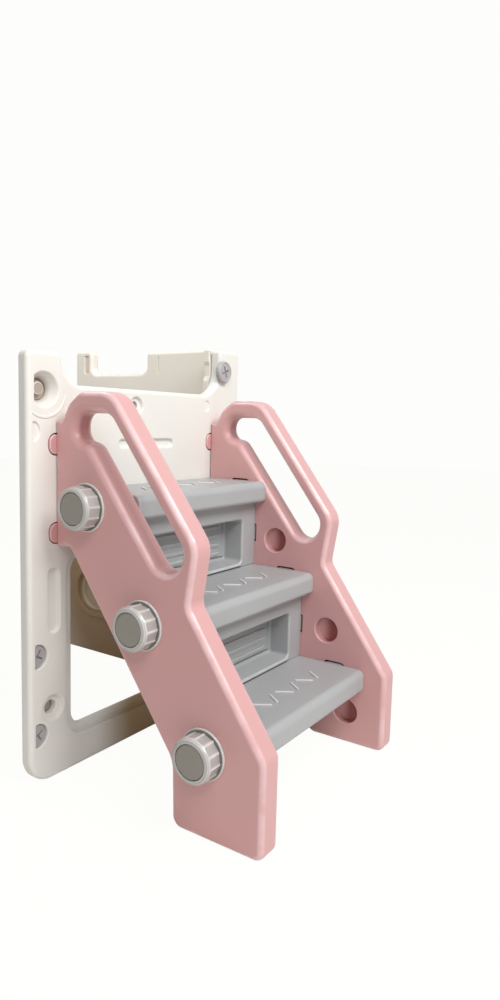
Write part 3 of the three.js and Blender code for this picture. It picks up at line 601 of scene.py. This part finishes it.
def tread_shape(step):
    """Tread as a slab on its side, carried round the outline of its end, with keys on both
    ends. The lowest one's rear lower edge, which no other part covers, is cut away."""
    front, top = nose_fronts[step], tread_tops[step]
    back = BACK_EDGE if step == 2 else nose_fronts[step + 1] + NOSE_OVERHANG + RISER_DEPTH
    under = top - TREAD_THICKNESS
    lift = 0 if step else LOW_CHAMFER
    outline = rounded([(front, under, 8), (back - 1.6 * lift - 4, under, 10),
                       (back, under + lift + 1, 4), (back, top, 4), (front, top, 13)],
                      step=0.12)
    rim, low_loop, high_loop = swept(outline, slab_side(-STEP_HALF, STEP_HALF, TREAD_EDGE))
    slab = joined([rim, filled([low_loop], -1.0), filled([high_loop], 1.0)])
    root, tip = STEP_HALF - 5, INNER_FACE + KEY_REACH
    keys = [boss(block(*key_places[step], *TREAD_KEY, 6), root, tip, 1.2)]
    if step:
        keys.append(boss(block(*riser_key_places[step - 1], *RISER_KEY, 1.5), root, tip, 1.0))
    ends = [placed(joined(key), (1, 0, 0), (0, 1, 0), (0, 0, side))
            for key in keys for side in (-1, 1)]
    return placed(joined([slab, *ends]), *side_on, (0, END_FACE, 0))


def rib_shapes(step):
    """Seven thin ribs, each a rounded block turned by the lean about its own middle, which
    lean to either side in turn. Their crests are taken as rubbed and given painted highlight,
    their feet as dusty and given painted shade."""
    shapes = []
    for place in range(-3, 4):
        lean = RIB_LEAN * (1 if place % 2 == 0 else -1)
        rib = joined(boss(block(0, 0, *RIB, 1.6), -0.6, 1.9, 0.8, 0.8))
        # painted highlight on the crests and painted shade at the feet, through the bend
        rib["bend"] = np.clip(rib["points"][:, 2] * 5 - 3, -2, 4)
        cos, sin = math.cos(lean), math.sin(lean)
        shapes.append(placed(rib, (cos, sin, 0), (-sin, cos, 0), (0, 0, 1),
                             (place * RIB_PITCH, nose_fronts[step] + TREAD_MIDDLE + END_FACE,
                              tread_tops[step])))
    return shapes


def riser_shape(step):
    """Riser as a slab that stands up, with a deep recess sunk into its front and level slats
    at even heights across the recess's floor."""
    front = nose_fronts[step] + NOSE_OVERHANG
    low, high = tread_tops[step - 1] + 0.3, tread_tops[step] - TREAD_THICKNESS + 3
    bottom, top = low + 7, high - 36
    middle = (low + high) / 2
    rim, rear, face = swept(block(0, middle, 2 * STEP_HALF, high - low, 2), [
        (-2, -RISER_DEPTH, 0), (0, -RISER_DEPTH, 1.5), (0, 0, 1.5), (-2, 0, 0)])
    recess, mouth = pocket(block(0, (bottom + top) / 2, RECESS_WIDTH, top - bottom, 9),
                           RECESS_DEPTH, 0, 4.5, 5, 3)
    slats = []
    pitch = (top - bottom) / (SLATS + 1)
    for slat in range(1, SLATS + 1):
        slats += boss(block(0, bottom + slat * pitch, RECESS_WIDTH - 44, 7, 3.4),
                      -RECESS_DEPTH - 2, -RECESS_DEPTH + 2.6, 1.6)
    whole = joined([rim, filled([rear], -1.0), filled([face, mouth], 1.0), *recess, *slats])
    return placed(whole, *front_on, (0, front + END_FACE, 0))


for step, level in enumerate(step_levels):
    shapes = [tread_shape(step), *rib_shapes(step)]
    if step:
        shapes.append(riser_shape(step))
    make(f"stair_{level}", joined(shapes), step_plastic, "frame",
         [f"step_{level}"])

# End panel
# A hollow cream panel, 25 mm thick, behind the steps, whose side panels plug into it. A gateway
# is cut into its top and an opening through its lower half. Round, oval and half-moon recesses
# are moulded into its front face.

# Its last argument paints the shadow of the near panel and steps onto the lower middle of the
# front face; its hollow colour is painted shade in recesses.
cream_plastic = plastic(
    "cream_plastic", 0xF0EFE9, 0xF8F6F2, 0xE3E0D8, 0x6E4A2C, 0.38,
    (800.0, 0.00006, 0.0009), (0.4, 0.45, 0.2), 0.2,
    ((0.09, -0.045, 0.06), (1, 7, 1), 0.13, 0.24, 0xA68A64))

END_THICKNESS = 25
END_EDGE = 8
END_HALF = 280
END_TOP = 748
END_LEFT_TOP = 703
GATE_HALF = 210
GATE_SILL = 653
STRIP = 268.2  # where the plain strip along each side edge begins
PORT = (-247, 643, 28.5)
SOCKET_PLAY = 4


def cut_round(x, z, radius, corner=3.0, strip=STRIP):
    """Circle about a place left of the middle, cut off by the plain strip along the edge: an
    arc from the strip's line round to it again, closed by the line."""
    half_turn = math.acos((-strip - x) / radius)
    angle = np.linspace(-half_turn + 5 / radius, half_turn - 5 / radius, 40)
    arc = [(x + radius * math.cos(a), z + radius * math.sin(a), 0) for a in angle]
    tip = radius * math.sin(half_turn)
    return rounded([(-strip, z - tip, corner), *arc, (-strip, z + tip, corner)])


def band(path, width):
    """Outline of a strip along a line of points: each side is the line moved by half the
    width along its normal, and the four end corners are rounded."""
    line = np.array(path, float)
    way = np.gradient(line, axis=0)
    way /= np.linalg.norm(way, axis=1)[:, None]
    aside = np.stack([way[:, 1], -way[:, 0]], axis=1) * width / 2
    tip = width * 0.45
    radii = [tip] + [0] * (len(line) - 2) + [tip]
    there = [(*spot, r) for spot, r in zip(line + aside, radii)]
    back = [(*spot, r) for spot, r in zip((line - aside)[::-1], radii)]
    return rounded([*there, *back], step=0.5)


def arc_path(x, z, radius, start, end, count=30):
    """Points of an arc: the centre plus the radius at even angles, in degrees."""
    angle = np.radians(np.linspace(start, end, count))
    return np.stack([x + radius * np.cos(angle), z + radius * np.sin(angle)], axis=1)


def mirrored(outline):
    """Outline on the other side of the middle, in reverse order so that its normals still
    point outwards."""
    points, normals, bends = outline
    return points[::-1] * [-1, 1], normals[::-1] * [-1, 1], bends[::-1]


hands = (("left", lambda outline: outline), ("right", mirrored))


def eye(x, z, radius, depth, hole, hole_depth, face, hollow):
    """Round dish with a smaller hole in its floor, with shade painted darker with its depth."""
    shape, mouth, foot = swept(ring(x, z, radius), [
        (3.2, face, 0), (0, face, 2.5), (-2, face - depth, 3), (hole - radius, face - depth, 1.8),
        (hole - radius - 0.5, face - hole_depth, 1.5),
        (hole - radius - 4, face - hole_depth, 0)])
    below = face - depth
    return [shade_painted_by_depth(part, below, hole_depth - depth, hollow)
            for part in (shape, filled([foot], 1.0))], mouth


def end_panel_shape():
    """Panel between its two faces, carried round its outline and round the opening, whose
    front edge steps down to a lower rim. Recesses are sunk into the front face, a peg stands
    in the round port, and a bead runs part of the way round that. The port, the eyes and the
    sockets get painted shade inside, and the peg painted shade all over."""
    half = END_THICKNESS / 2
    outline = rounded([
        (-END_HALF, 0, 45), (END_HALF, 0, 45), (END_HALF, END_TOP, 12), (GATE_HALF, END_TOP, 9),
        (GATE_HALF, GATE_SILL, 55), (-GATE_HALF, GATE_SILL, 40), (-GATE_HALF, END_LEFT_TOP, 9),
        (-END_HALF, END_LEFT_TOP, 12)])
    rim, rear_loop, front_loop = swept(outline, slab_side(-half, half, END_EDGE))
    under_gate, front_hole, rear_hole = swept(block(0, 221, 374, 300, 28), [
        (18.6, half, 0), (17, half, 1.3), (15.2, half - 5.8, 1.5), (0, half - 5, 6.8),
        (0, -half, END_EDGE), (END_EDGE + 1, -half, 0)])
    recesses = [
        # painted shade inside the port
        pocket(cut_round(*PORT, 3.5, 266.5), 20, half, 3.0, 3, 12, 2.7, PORT),
        pocket(block(-10, 556.5, 146, 17, 8), 6, half, 1.8, 2.5, 1.5),
        pocket(block(168, 630.5, 18, 22, 8), 2.4, half, 2.2, 1.4, 2.2),
        # painted shade inside the eyes
        eye(-39, 624, 16.5, 6, 8, 14, half, 3.8),
    ]
    recesses += [pocket(block(x, 303, 25, 108, 11.5), 7, half, 2, 3, 1.5) for x in (-230, 230)]
    recesses += [eye(x, 122, 23, 7, 12, 20, half, 2.6) for x in (-233, 233)]
    moon = cut_round(-272, 578, 17, 4, 269.9)
    pockets = [cut_round(-264, level, 20.3) for level in (83, 216)]
    for _, turned in hands:
        recesses.append(pocket(turned(moon), 2.8, half, 1.1, 2, 1))
        recesses += [pocket(turned(outline), 8, half, 1.8, 1.5, 0.3) for outline in pockets]
    for x in (-panel_middle, panel_middle):
        for z in plug_levels:
            width, height = (side + SOCKET_PLAY for side in PLUG)
            # painted shade in the gap round each socket
            parts, mouth = pocket(block(x, z, width, height, 15), 18.5, half, 0.8, 1)
            recesses.append((gap_shade_painted(parts, half), mouth))
    shapes, holes = [rim, under_gate, filled([rear_loop, rear_hole], -1.0)], [front_hole]
    for parts, mouth in recesses:
        shapes += parts
        holes.append(mouth)
    shapes.append(filled([front_loop, *holes], 1.0))
    # painted shade over the whole peg
    peg = shade_painted_by_depth(joined(boss(ring(-250, 645, 10.5), half - 20.5, half - 11, 2.5)),
                   half + 2, 14, 3.2)
    bead = boss(band(arc_path(*PORT[:2], 43, 236, 350), 4), half - 1, half + 1.3, 1.2, 0.3)
    return placed(joined([*shapes, peg, *bead]), *front_on, (0, END_FACE + half, 0))


make("gate_panel", end_panel_shape(), cream_plastic, "frame", ["end_panel"])

# Side wall
# A second hollow cream panel, behind the end panel at its right. A notch in its top is the
# window, a long oval recess with a raised rim stiffens its foot, and a flange along its front
# edge is screwed to the end panel.

WALL_THICKNESS = 25
WALL_FRONT = 25.3
WALL_EDGE = 8


def side_wall_shape():
    """Wall as a slab on edge between its two faces, with the oval recess and two grooves sunk
    into the inner one. The rim gets painted highlight, the recess painted shade darker with its
    depth, and the groove on the post painted shade. The flange is a raised block in the plane of
    the end panel's back."""
    half = WALL_THICKNESS / 2
    window_front, window_back, window_sill, post_back, foot_back = 246.3, 426.3, 706, 483.3, 518.3
    outline = rounded([
        (WALL_FRONT, 0, 30), (foot_back, 0, 10), (foot_back, 333, 30), (post_back, 523, 22),
        (post_back, 763, 11), (window_back, 763, 11), (window_back, window_sill, 18),
        (window_front, window_sill, 18), (window_front, 755, 11), (WALL_FRONT, 755, 11)])
    rim, outer_loop, inner_loop = swept(outline, slab_side(-half, half, WALL_EDGE))
    bath, inner_hole, floor = swept(block(288.3, 160, 370, 106, 48), [
        (18, half, 0), (15, half, 1.5), (12, half + 3.4, 2), (1, half + 3.4, 4),
        (-5, half - 19, 8), (-14, half - 19, 0)])
    # painted highlight on the rim, then painted shade in the recess
    bath["bend"] = np.where(bath["points"][:, 2] > half + 2, 3, bath["bend"])
    bath, floor_face = [shade_painted_by_depth(part, half, 19, 3) for part in (bath, filled([floor], 1.0))]
    groove, groove_hole = pocket(block(209.8, 724, 5, 40, 2), 2.5, half, 0.9, 0.7)
    # painted shade in the groove on the post
    post_groove, post_hole = pocket(block(444, 730, 15, 44, 4), 2.5, half, 0.8, 1.5, 0.5, 2)
    body_shape = joined([rim, bath, floor_face, filled([outer_loop], -1.0),
                         filled([inner_loop, inner_hole, groove_hole, post_hole], 1.0),
                         *groove, *post_groove])
    wall = placed(body_shape, (0, 1, 0), (0, 0, 1), (-1, 0, 0),
                  (END_HALF - half, END_FACE, 0))
    edge = rounded([(204, 603, 3), (263, 603, 3), (263, 748, 3), (206.5, 748, 2),
                    (206.5, 724, 5), (210, 716, 4), (210, 694, 4), (205, 684, 3), (203, 640, 20)])
    flange = joined(boss(edge, -40.3, -WALL_FRONT, 2.5))
    return joined([wall, placed(flange, *front_on, (0, END_FACE, 0))])


# Its last argument paints shade onto the lower part of the wall's inner face; its hollow colour is
# painted shade in the recesses.
wall_plastic = plastic(
    "wall_plastic", 0xF4EFE4, 0xF8F3EA, 0xE8DFD0, 0xA58A68, 0.4,
    (800.0, 0.00006, 0.0009), (0.4, 0.5, 0.2), 0.0,
    ((0.253, 0.2, 0.2), (18, 1, 1), 0.24, 0.46, 0x957857))
make("wall", side_wall_shape(), wall_plastic, "frame", ["side_wall"])

# Screws
# Grey moulded screws join the end panel to the parts behind it. Four flat heads lie in pockets
# at its edges, and one rimmed head stands out beside the gateway.

screw_plastic = plastic(
    "screw_plastic", 0xB3B1B1, 0xCBCACA, 0x969494, 0x4E4C4C, 0.4,
    (1100.0, 0.00005, 0.0003), (0.7, 0.6, 0.5))


def cross(x, z, length, width, turn, wall=None):
    """Outline of a cross: the twelve corners of two crossed bars, turned about its middle. An
    arm that would pass a wall at the left ends at it."""
    short = width / 2
    corners = []
    for arm in range(4):
        cos, sin = math.cos(arm * math.pi / 2 + turn), math.sin(arm * math.pi / 2 + turn)
        tip = length / 2
        if wall is not None and cos < 0:
            tip = min(tip, (x - wall - short * abs(sin)) / -cos)
        corners += [(x + u * cos - v * sin, z + u * sin + v * cos, 0.45)
                    for u, v in ((tip, -short), (tip, short), (short, short))]
    return rounded(corners, step=0.5)


def screw_head(outline, slot, face, back):
    """Flat head with a rounded edge and a cross sunk into it."""
    # painted shade inside the cross
    slot_parts, mouth = pocket(slot, 1.8, face, 0.28, 0.4, 0.1, 2.4)
    edge, rear, front = swept(outline, [(-1.5, back, 0), (0, back, 0.5), (0, face, 1.0),
                                        (-1.8, face, 0)])
    return joined([edge, filled([rear], -1.0), filled([front, mouth], 1.0), *slot_parts])


for side_name, turned in hands:
    for level_name, level, turn in (("low", 83, 0.6), ("middle", 216, 1.0)):
        outline = turned(cut_round(-264.5, level, 19.0, 2.2, 266.9))
        slot = turned(cross(-261.5, level, 23, 3, turn, -264.4))
        head = screw_head(outline, slot, -3.7, -7.7)
        make(f"screw_{side_name}_{level_name}", placed(head, *front_on, (0, END_FACE, 0)),
             screw_plastic, "frame", [f"pocket_screw_{side_name}_{level_name}"])


def gate_screw_shape(x, z):
    """Round head with a raised rim: its profile goes up the side, over the rim and down to a
    flat face with a cross sunk into it."""
    # painted shade inside the cross
    parts, mouth = pocket(cross(x, z, 24, 4, 0.35), 1.8, 9.4, 0.28, 0.5, 0.2, 2.4)
    edge, rear, front = swept(ring(x, z, 22.5, 64), [
        (-4, 0.3, 0), (0, 0.3, 0.5), (-0.4, 8, 2.2), (-2.8, 10.4, 1), (-4.2, 10, 0.8),
        (-5.4, 9, 0.8), (-7, 9.4, 1), (-8.5, 9.4, 0)])
    return joined([edge, filled([rear], -1.0), filled([front, mouth], 1.0), *parts])


make("gate_head", placed(gate_screw_shape(218, 702), *front_on, (0, END_FACE, 0)),
     screw_plastic, "frame", ["gate_screw"])

# Studs, washers, knobs and caps
# A threaded stud in each end of each step passes through the side panel. A fluted knob with a
# pressed-in cap screws onto it and draws a loose washer flange against the panel.

knob_plastic = plastic(
    "knob_plastic", 0xBAB9B5, 0xE4E3E1, 0xA5A39E, 0x6B6660, 0.28,
    (1200.0, 0.00004, 0.0003), (0.8, 0.5, 0.3), 0.4)
cap_plastic = plastic(
    "cap_plastic", 0x9C988F, 0xB2AEA6, 0x88847C, 0x5A564F, 0.5,
    (1600.0, 0.00008, 0.0003), (0.6, 0.4, 0.4))
stud_plastic = plastic(
    "stud_plastic", 0x9D9B98, 0xB5B3B0, 0x858380, 0x565452, 0.45,
    (1200.0, 0.00005, 0.0002), (0.8, 0.5, 0.5))

FLUTES = 12
FLUTE_POINTS = 12
FLUTE_DEPTH = 1.8
KNOB_RADIUS = 34.4
THREAD_PITCH = 6
THREAD_DEPTH = 1.4
ROUND_POINTS = 96
FIRST_TURN = 0.13
NEXT_TURN = 0.4


def turned_shape(profile, count, reshape=None, closed=False):
    """Profile of [radius, level, rounding] corners turned about the level axis: a point is
    the radius at its angle, and the level. Another function may move the radii, and the
    normals come from the steps between neighbours along and round the shape."""
    line, _, bends = rounded(profile, closed=closed, step=FILLET_STEP)
    if closed:
        line, bends = np.append(line, line[:1], axis=0), np.append(bends, bends[:1])
    angle = np.arange(count) * 2 * math.pi / count
    radius = np.repeat(line[:, :1], count, axis=1)
    level = np.repeat(line[:, 1:], count, axis=1)
    if reshape:
        radius = reshape(radius, level, angle)
    grid = np.stack([radius * np.cos(angle), radius * np.sin(angle), level], axis=-1)
    around = np.roll(grid, -1, axis=1) - np.roll(grid, 1, axis=1)
    still = np.linalg.norm(around, axis=-1) < 1e-6
    around[still] = np.stack([-np.sin(angle), np.cos(angle), 0 * angle],
                             axis=-1)[np.nonzero(still)[1]]
    along = np.gradient(grid, axis=0)
    if closed:
        along[0] = along[-1] = (grid[1] - grid[-2]) / 2
    normals = np.cross(around, along)
    normals /= np.maximum(np.linalg.norm(normals, axis=-1), 1e-9)[..., None]
    return {"points": grid.reshape(-1, 3), "normals": normals.reshape(-1, 3),
            "bend": np.repeat(bends, count), "faces": grid_faces(len(line), count)}


def fluted(radius, level, angle):
    """Grip: the radius falls by up to the flute's depth between ridges. A flute is deepest at
    its middle, rises steeply to a narrow ridge, and runs out in an arch short of the rim. The
    bore and the face stay round."""
    turn = (angle * FLUTES / (2 * math.pi)) % 1.0
    from_middle = np.abs(turn - 0.5) * 2
    hollow = eased(np.clip((0.94 - from_middle) / 0.2, 0, 1))
    hollow = hollow * (0.6 + 0.4 * (1 - from_middle ** 2))
    arch = 26.0 + 1.6 * np.sqrt(np.clip(1 - from_middle ** 2, 0, 1))
    fade = np.clip((arch - level) / 2.2, 0, 1)
    grip = np.clip((radius - 30.5) / 1.5, 0, 1)
    return radius - FLUTE_DEPTH * hollow * eased(fade) * grip


KNOB_PROFILE = [
    (0, 22, 0), (10.5, 22, 0.5), (10.5, 0.5, 0.5), (23.5, 0.5, 0.3), (23.5, 1.5, 0.2),
    (21.5, 1.5, 0.3), (21.5, 4.1, 0.5), (34.3, 4.1, 0.8), (KNOB_RADIUS, 26.4, 4.5),
    (31.8, 31.0, 4.0), (28.0, 32.7, 2.2), (26.0, 32.6, 0.6), (25.8, 28.2, 0.4), (0, 28.2, 0)]


def knob_line():
    """Knob profile with rows every 0.7 mm along the grip, so that the flutes can run out."""
    foot = KNOB_PROFILE.index((34.3, 4.1, 0.8)) + 1
    grip = [(34.3 + 0.1 * share, 4.1 + 22.1 * share, 0) for share in np.linspace(0.08, 0.86, 26)]
    return KNOB_PROFILE[:foot] + grip + KNOB_PROFILE[foot:]


def stud_thread(radius, level, angle):
    """Thread: outside the panel the radius rises and falls by a rounded saw tooth, whose
    phase goes round once for each pitch of height."""
    phase = (level / THREAD_PITCH - angle / (2 * math.pi)) % 1.0
    tooth = np.clip(1.6 * np.abs(2 * phase - 1) - 0.3, 0, 1)
    outside = np.clip(level / 1.5, 0, 1) * np.clip((27.2 - level) / 1.0, 0, 1)
    on_side = radius > 8
    return radius - THREAD_DEPTH * tooth * outside * on_side


STUD_PROFILE = [(0, -88, 0), (14, -88, 0.6), (14, -83, 0.6), (10, -83, 0.5), (10, -0.1, 0)]
STUD_PROFILE += [(10, z, 0) for z in np.arange(0.4, 26.4, 0.5)]
STUD_PROFILE += [(10, 26.9, 0.8), (0, 27, 0)]

WASHER_PROFILE = [(22, 3.8, 0.4), (22, 1.8, 0.3), (24, 1.8, 0.2), (24, 0.3, 0.3),
                  (38.5, 0.3, 0.6), (38.5, 3.4, 1.3), (36, 3.8, 0.5)]
CAP_PROFILE = [(0, 28.4, 0), (24.8, 28.4, 0.3), (24.8, 31.6, 1.0), (21, 32.0, 10),
               (0, 32.1, 0)]

# Ridges are taken as rubbed and given painted highlight and flutes as dusty, a washer's rim as
# rubbed and given painted highlight, and the ring between it and the knob as a dark gap of painted
# shade.
knob_shape = turned_shape(knob_line(), FLUTE_POINTS * FLUTES, fluted)
sunk = KNOB_RADIUS - np.hypot(knob_shape["points"][:, 0], knob_shape["points"][:, 1])
on_grip = (np.abs(knob_shape["points"][:, 2] - 16.5) < 11.7) & (sunk < 4)
knob_shape["bend"] = np.where(on_grip, 2.2 - 1.6 * sunk, knob_shape["bend"])
stud_shape = turned_shape(STUD_PROFILE, CIRCLE_POINTS, stud_thread)
washer_shape = turned_shape(WASHER_PROFILE, ROUND_POINTS, closed=True)
washer_reach = np.hypot(washer_shape["points"][:, 0], washer_shape["points"][:, 1])
washer_shape["bend"] = np.interp(washer_reach, [36.2, 37.0], [-3.2, 2.5])
cap_shape = turned_shape(CAP_PROFILE, ROUND_POINTS)

for side_name, side in (("left", -1), ("right", 1)):
    for step, level_name in enumerate(step_levels):
        y, z = knob_places[step]
        name = f"{side_name}_{level_name}"
        turn = FIRST_TURN + NEXT_TURN * step
        cos, sin = math.cos(turn), math.sin(turn)
        seat = ((0, cos, sin), (0, -side * sin, side * cos), (side, 0, 0),
                (side * (INNER_FACE + PANEL_THICKNESS), y + END_FACE, z))
        for piece, shape, material, body, slot, node in (
                ("bolt", stud_shape, stud_plastic, "frame", "stud_plastic", "stud"),
                ("flange", washer_shape, knob_plastic, f"washer_{name}", "knob_plastic", "washer"),
                ("grip", knob_shape, knob_plastic, f"knob_{name}", "knob_plastic", "knob"),
                ("cover", cap_shape, cap_plastic, f"knob_{name}", "cap_plastic", "cap")):
            make(f"{piece}_{name}", placed(shape, *seat), material, body,
                 [f"{node}_{name}"])

# Camera
# It stands at the climber's left, just under the height of the gateway's sill, and looks
# across the steps and a little down.

CAMERA_PLACE = (-0.98276, -0.92818, 0.60277)
CAMERA_RIGHT = (0.5586, -0.8290, 0.0263)
CAMERA_AHEAD = (0.8257, 0.5528, -0.1123)
FOCAL_LENGTH = 25.238
camera_data = bpy.data.cameras.new("photo_camera")
camera_data.sensor_width = 36
camera_data.lens = FOCAL_LENGTH
camera = bpy.data.objects.new("photo_camera", camera_data)
bpy.context.scene.collection.objects.link(camera)
right = Vector(CAMERA_RIGHT).normalized()
forward = Vector(CAMERA_AHEAD)
forward = (forward - right * forward.dot(right)).normalized()
up = right.cross(forward)
turned_to = Matrix((right, up, -forward)).transposed().to_4x4()
camera.matrix_world = Matrix.Translation(CAMERA_PLACE) @ turned_to
bpy.context.scene.camera = camera

# Studio
# A pale floor under a white sky, one large soft lamp in front of the steps, a weaker one at
# the climber's left, and a small one over the side wall.

FLOOR_LEVEL = -0.3
FLOOR_RADII = (1e-4, 800.0, 2500.0, 9000.0)
FLOOR_POINTS = 64
FLOOR_GLOW = 1.012
GLOW_SHARE = 0.95  # of what the camera sees of the floor
SKY_STRENGTH = 0.24  # as a light; it is seen, and mirrored, at 1


def floor_shape():
    """Round floor: rings of even angle whose radius grows, all at one level."""
    angle = np.arange(FLOOR_POINTS) * 2 * math.pi / FLOOR_POINTS
    radius = np.array(FLOOR_RADII)[:, None]
    level = np.full((len(FLOOR_RADII), FLOOR_POINTS), FLOOR_LEVEL)
    grid = np.stack([radius * np.cos(angle), radius * np.sin(angle), level], axis=-1)
    return grid.reshape(-1, 3), grid_faces(*level.shape)


floor_points, floor_faces = floor_shape()
floor_mesh = bpy.data.meshes.new("floor")
floor_mesh.from_pydata((floor_points * LENGTH_UNIT).tolist(), [], floor_faces.tolist())
floor = bpy.data.objects.new("floor", floor_mesh)
bpy.context.scene.collection.objects.link(floor)
floor_paint = bpy.data.materials.new("floor_paint")
floor_paint.use_nodes = True
tree = floor_paint.node_tree
paint = tree.nodes["Principled BSDF"]
paint.inputs["Roughness"].default_value = 0.9
paint.inputs["Specular IOR Level"].default_value = 0.1
paint.inputs["Base Color"].default_value = (0.92, 0.9, 0.87, 1.0)
glow = tree.nodes.new("ShaderNodeEmission")
glow.inputs["Color"].default_value = (1.0, 1.0, 0.98, 1.0)
glow.inputs["Strength"].default_value = FLOOR_GLOW
rays = tree.nodes.new("ShaderNodeLightPath")
seen = combined(tree, "MULTIPLY", rays.outputs["Is Camera Ray"], GLOW_SHARE)
both = tree.nodes.new("ShaderNodeMixShader")
tree.links.new(seen, both.inputs["Fac"])
tree.links.new(paint.outputs["BSDF"], both.inputs[1])
tree.links.new(glow.outputs["Emission"], both.inputs[2])
tree.links.new(both.outputs["Shader"], tree.nodes["Material Output"].inputs["Surface"])
floor_mesh.materials.append(floor_paint)

world = bpy.data.worlds.new("studio")
bpy.context.scene.world = world
world.use_nodes = True
tree = world.node_tree
sky = tree.nodes["Background"]
rays = tree.nodes.new("ShaderNodeLightPath")
direct = combined(tree, "MAXIMUM", rays.outputs["Is Camera Ray"],
                  rays.outputs["Is Transmission Ray"])
direct = combined(tree, "MAXIMUM", direct, rays.outputs["Is Glossy Ray"])
tint = mixed(tree, direct, (1.0, 0.972, 0.942), (0.985, 0.985, 0.972))
tree.links.new(tint, sky.inputs["Color"])
strength = remapped(tree, direct, 0.0, 1.0, SKY_STRENGTH, 1.0)
tree.links.new(strength, sky.inputs["Strength"])


def soft_lamp(name, place, aim, size, power):
    """White rectangular lamp at a place, turned to face another."""
    data = bpy.data.lights.new(name, "AREA")
    data.shape = "RECTANGLE"
    data.size, data.size_y = size
    data.energy = power
    lamp = bpy.data.objects.new(name, data)
    lamp.location = place
    lamp.rotation_mode = "QUATERNION"
    lamp.rotation_quaternion = (Vector(aim) - Vector(place)).to_track_quat("-Z", "Y")
    bpy.context.scene.collection.objects.link(lamp)


soft_lamp("front_lamp", (-0.1, -2.1, 2.4), (0, -0.1, 0.45), (1.5, 1.2), 58)
soft_lamp("left_lamp", (-1.4, -1.2, 1.9), (0, 0, 0.55), (1.0, 0.9), 12.5)
soft_lamp("wall_lamp", (-0.12, 0.35, 1.3), (0.26, 0.3, 0.74), (0.3, 0.3), 2.2)

bpy.context.scene.view_settings.view_transform = "Standard"
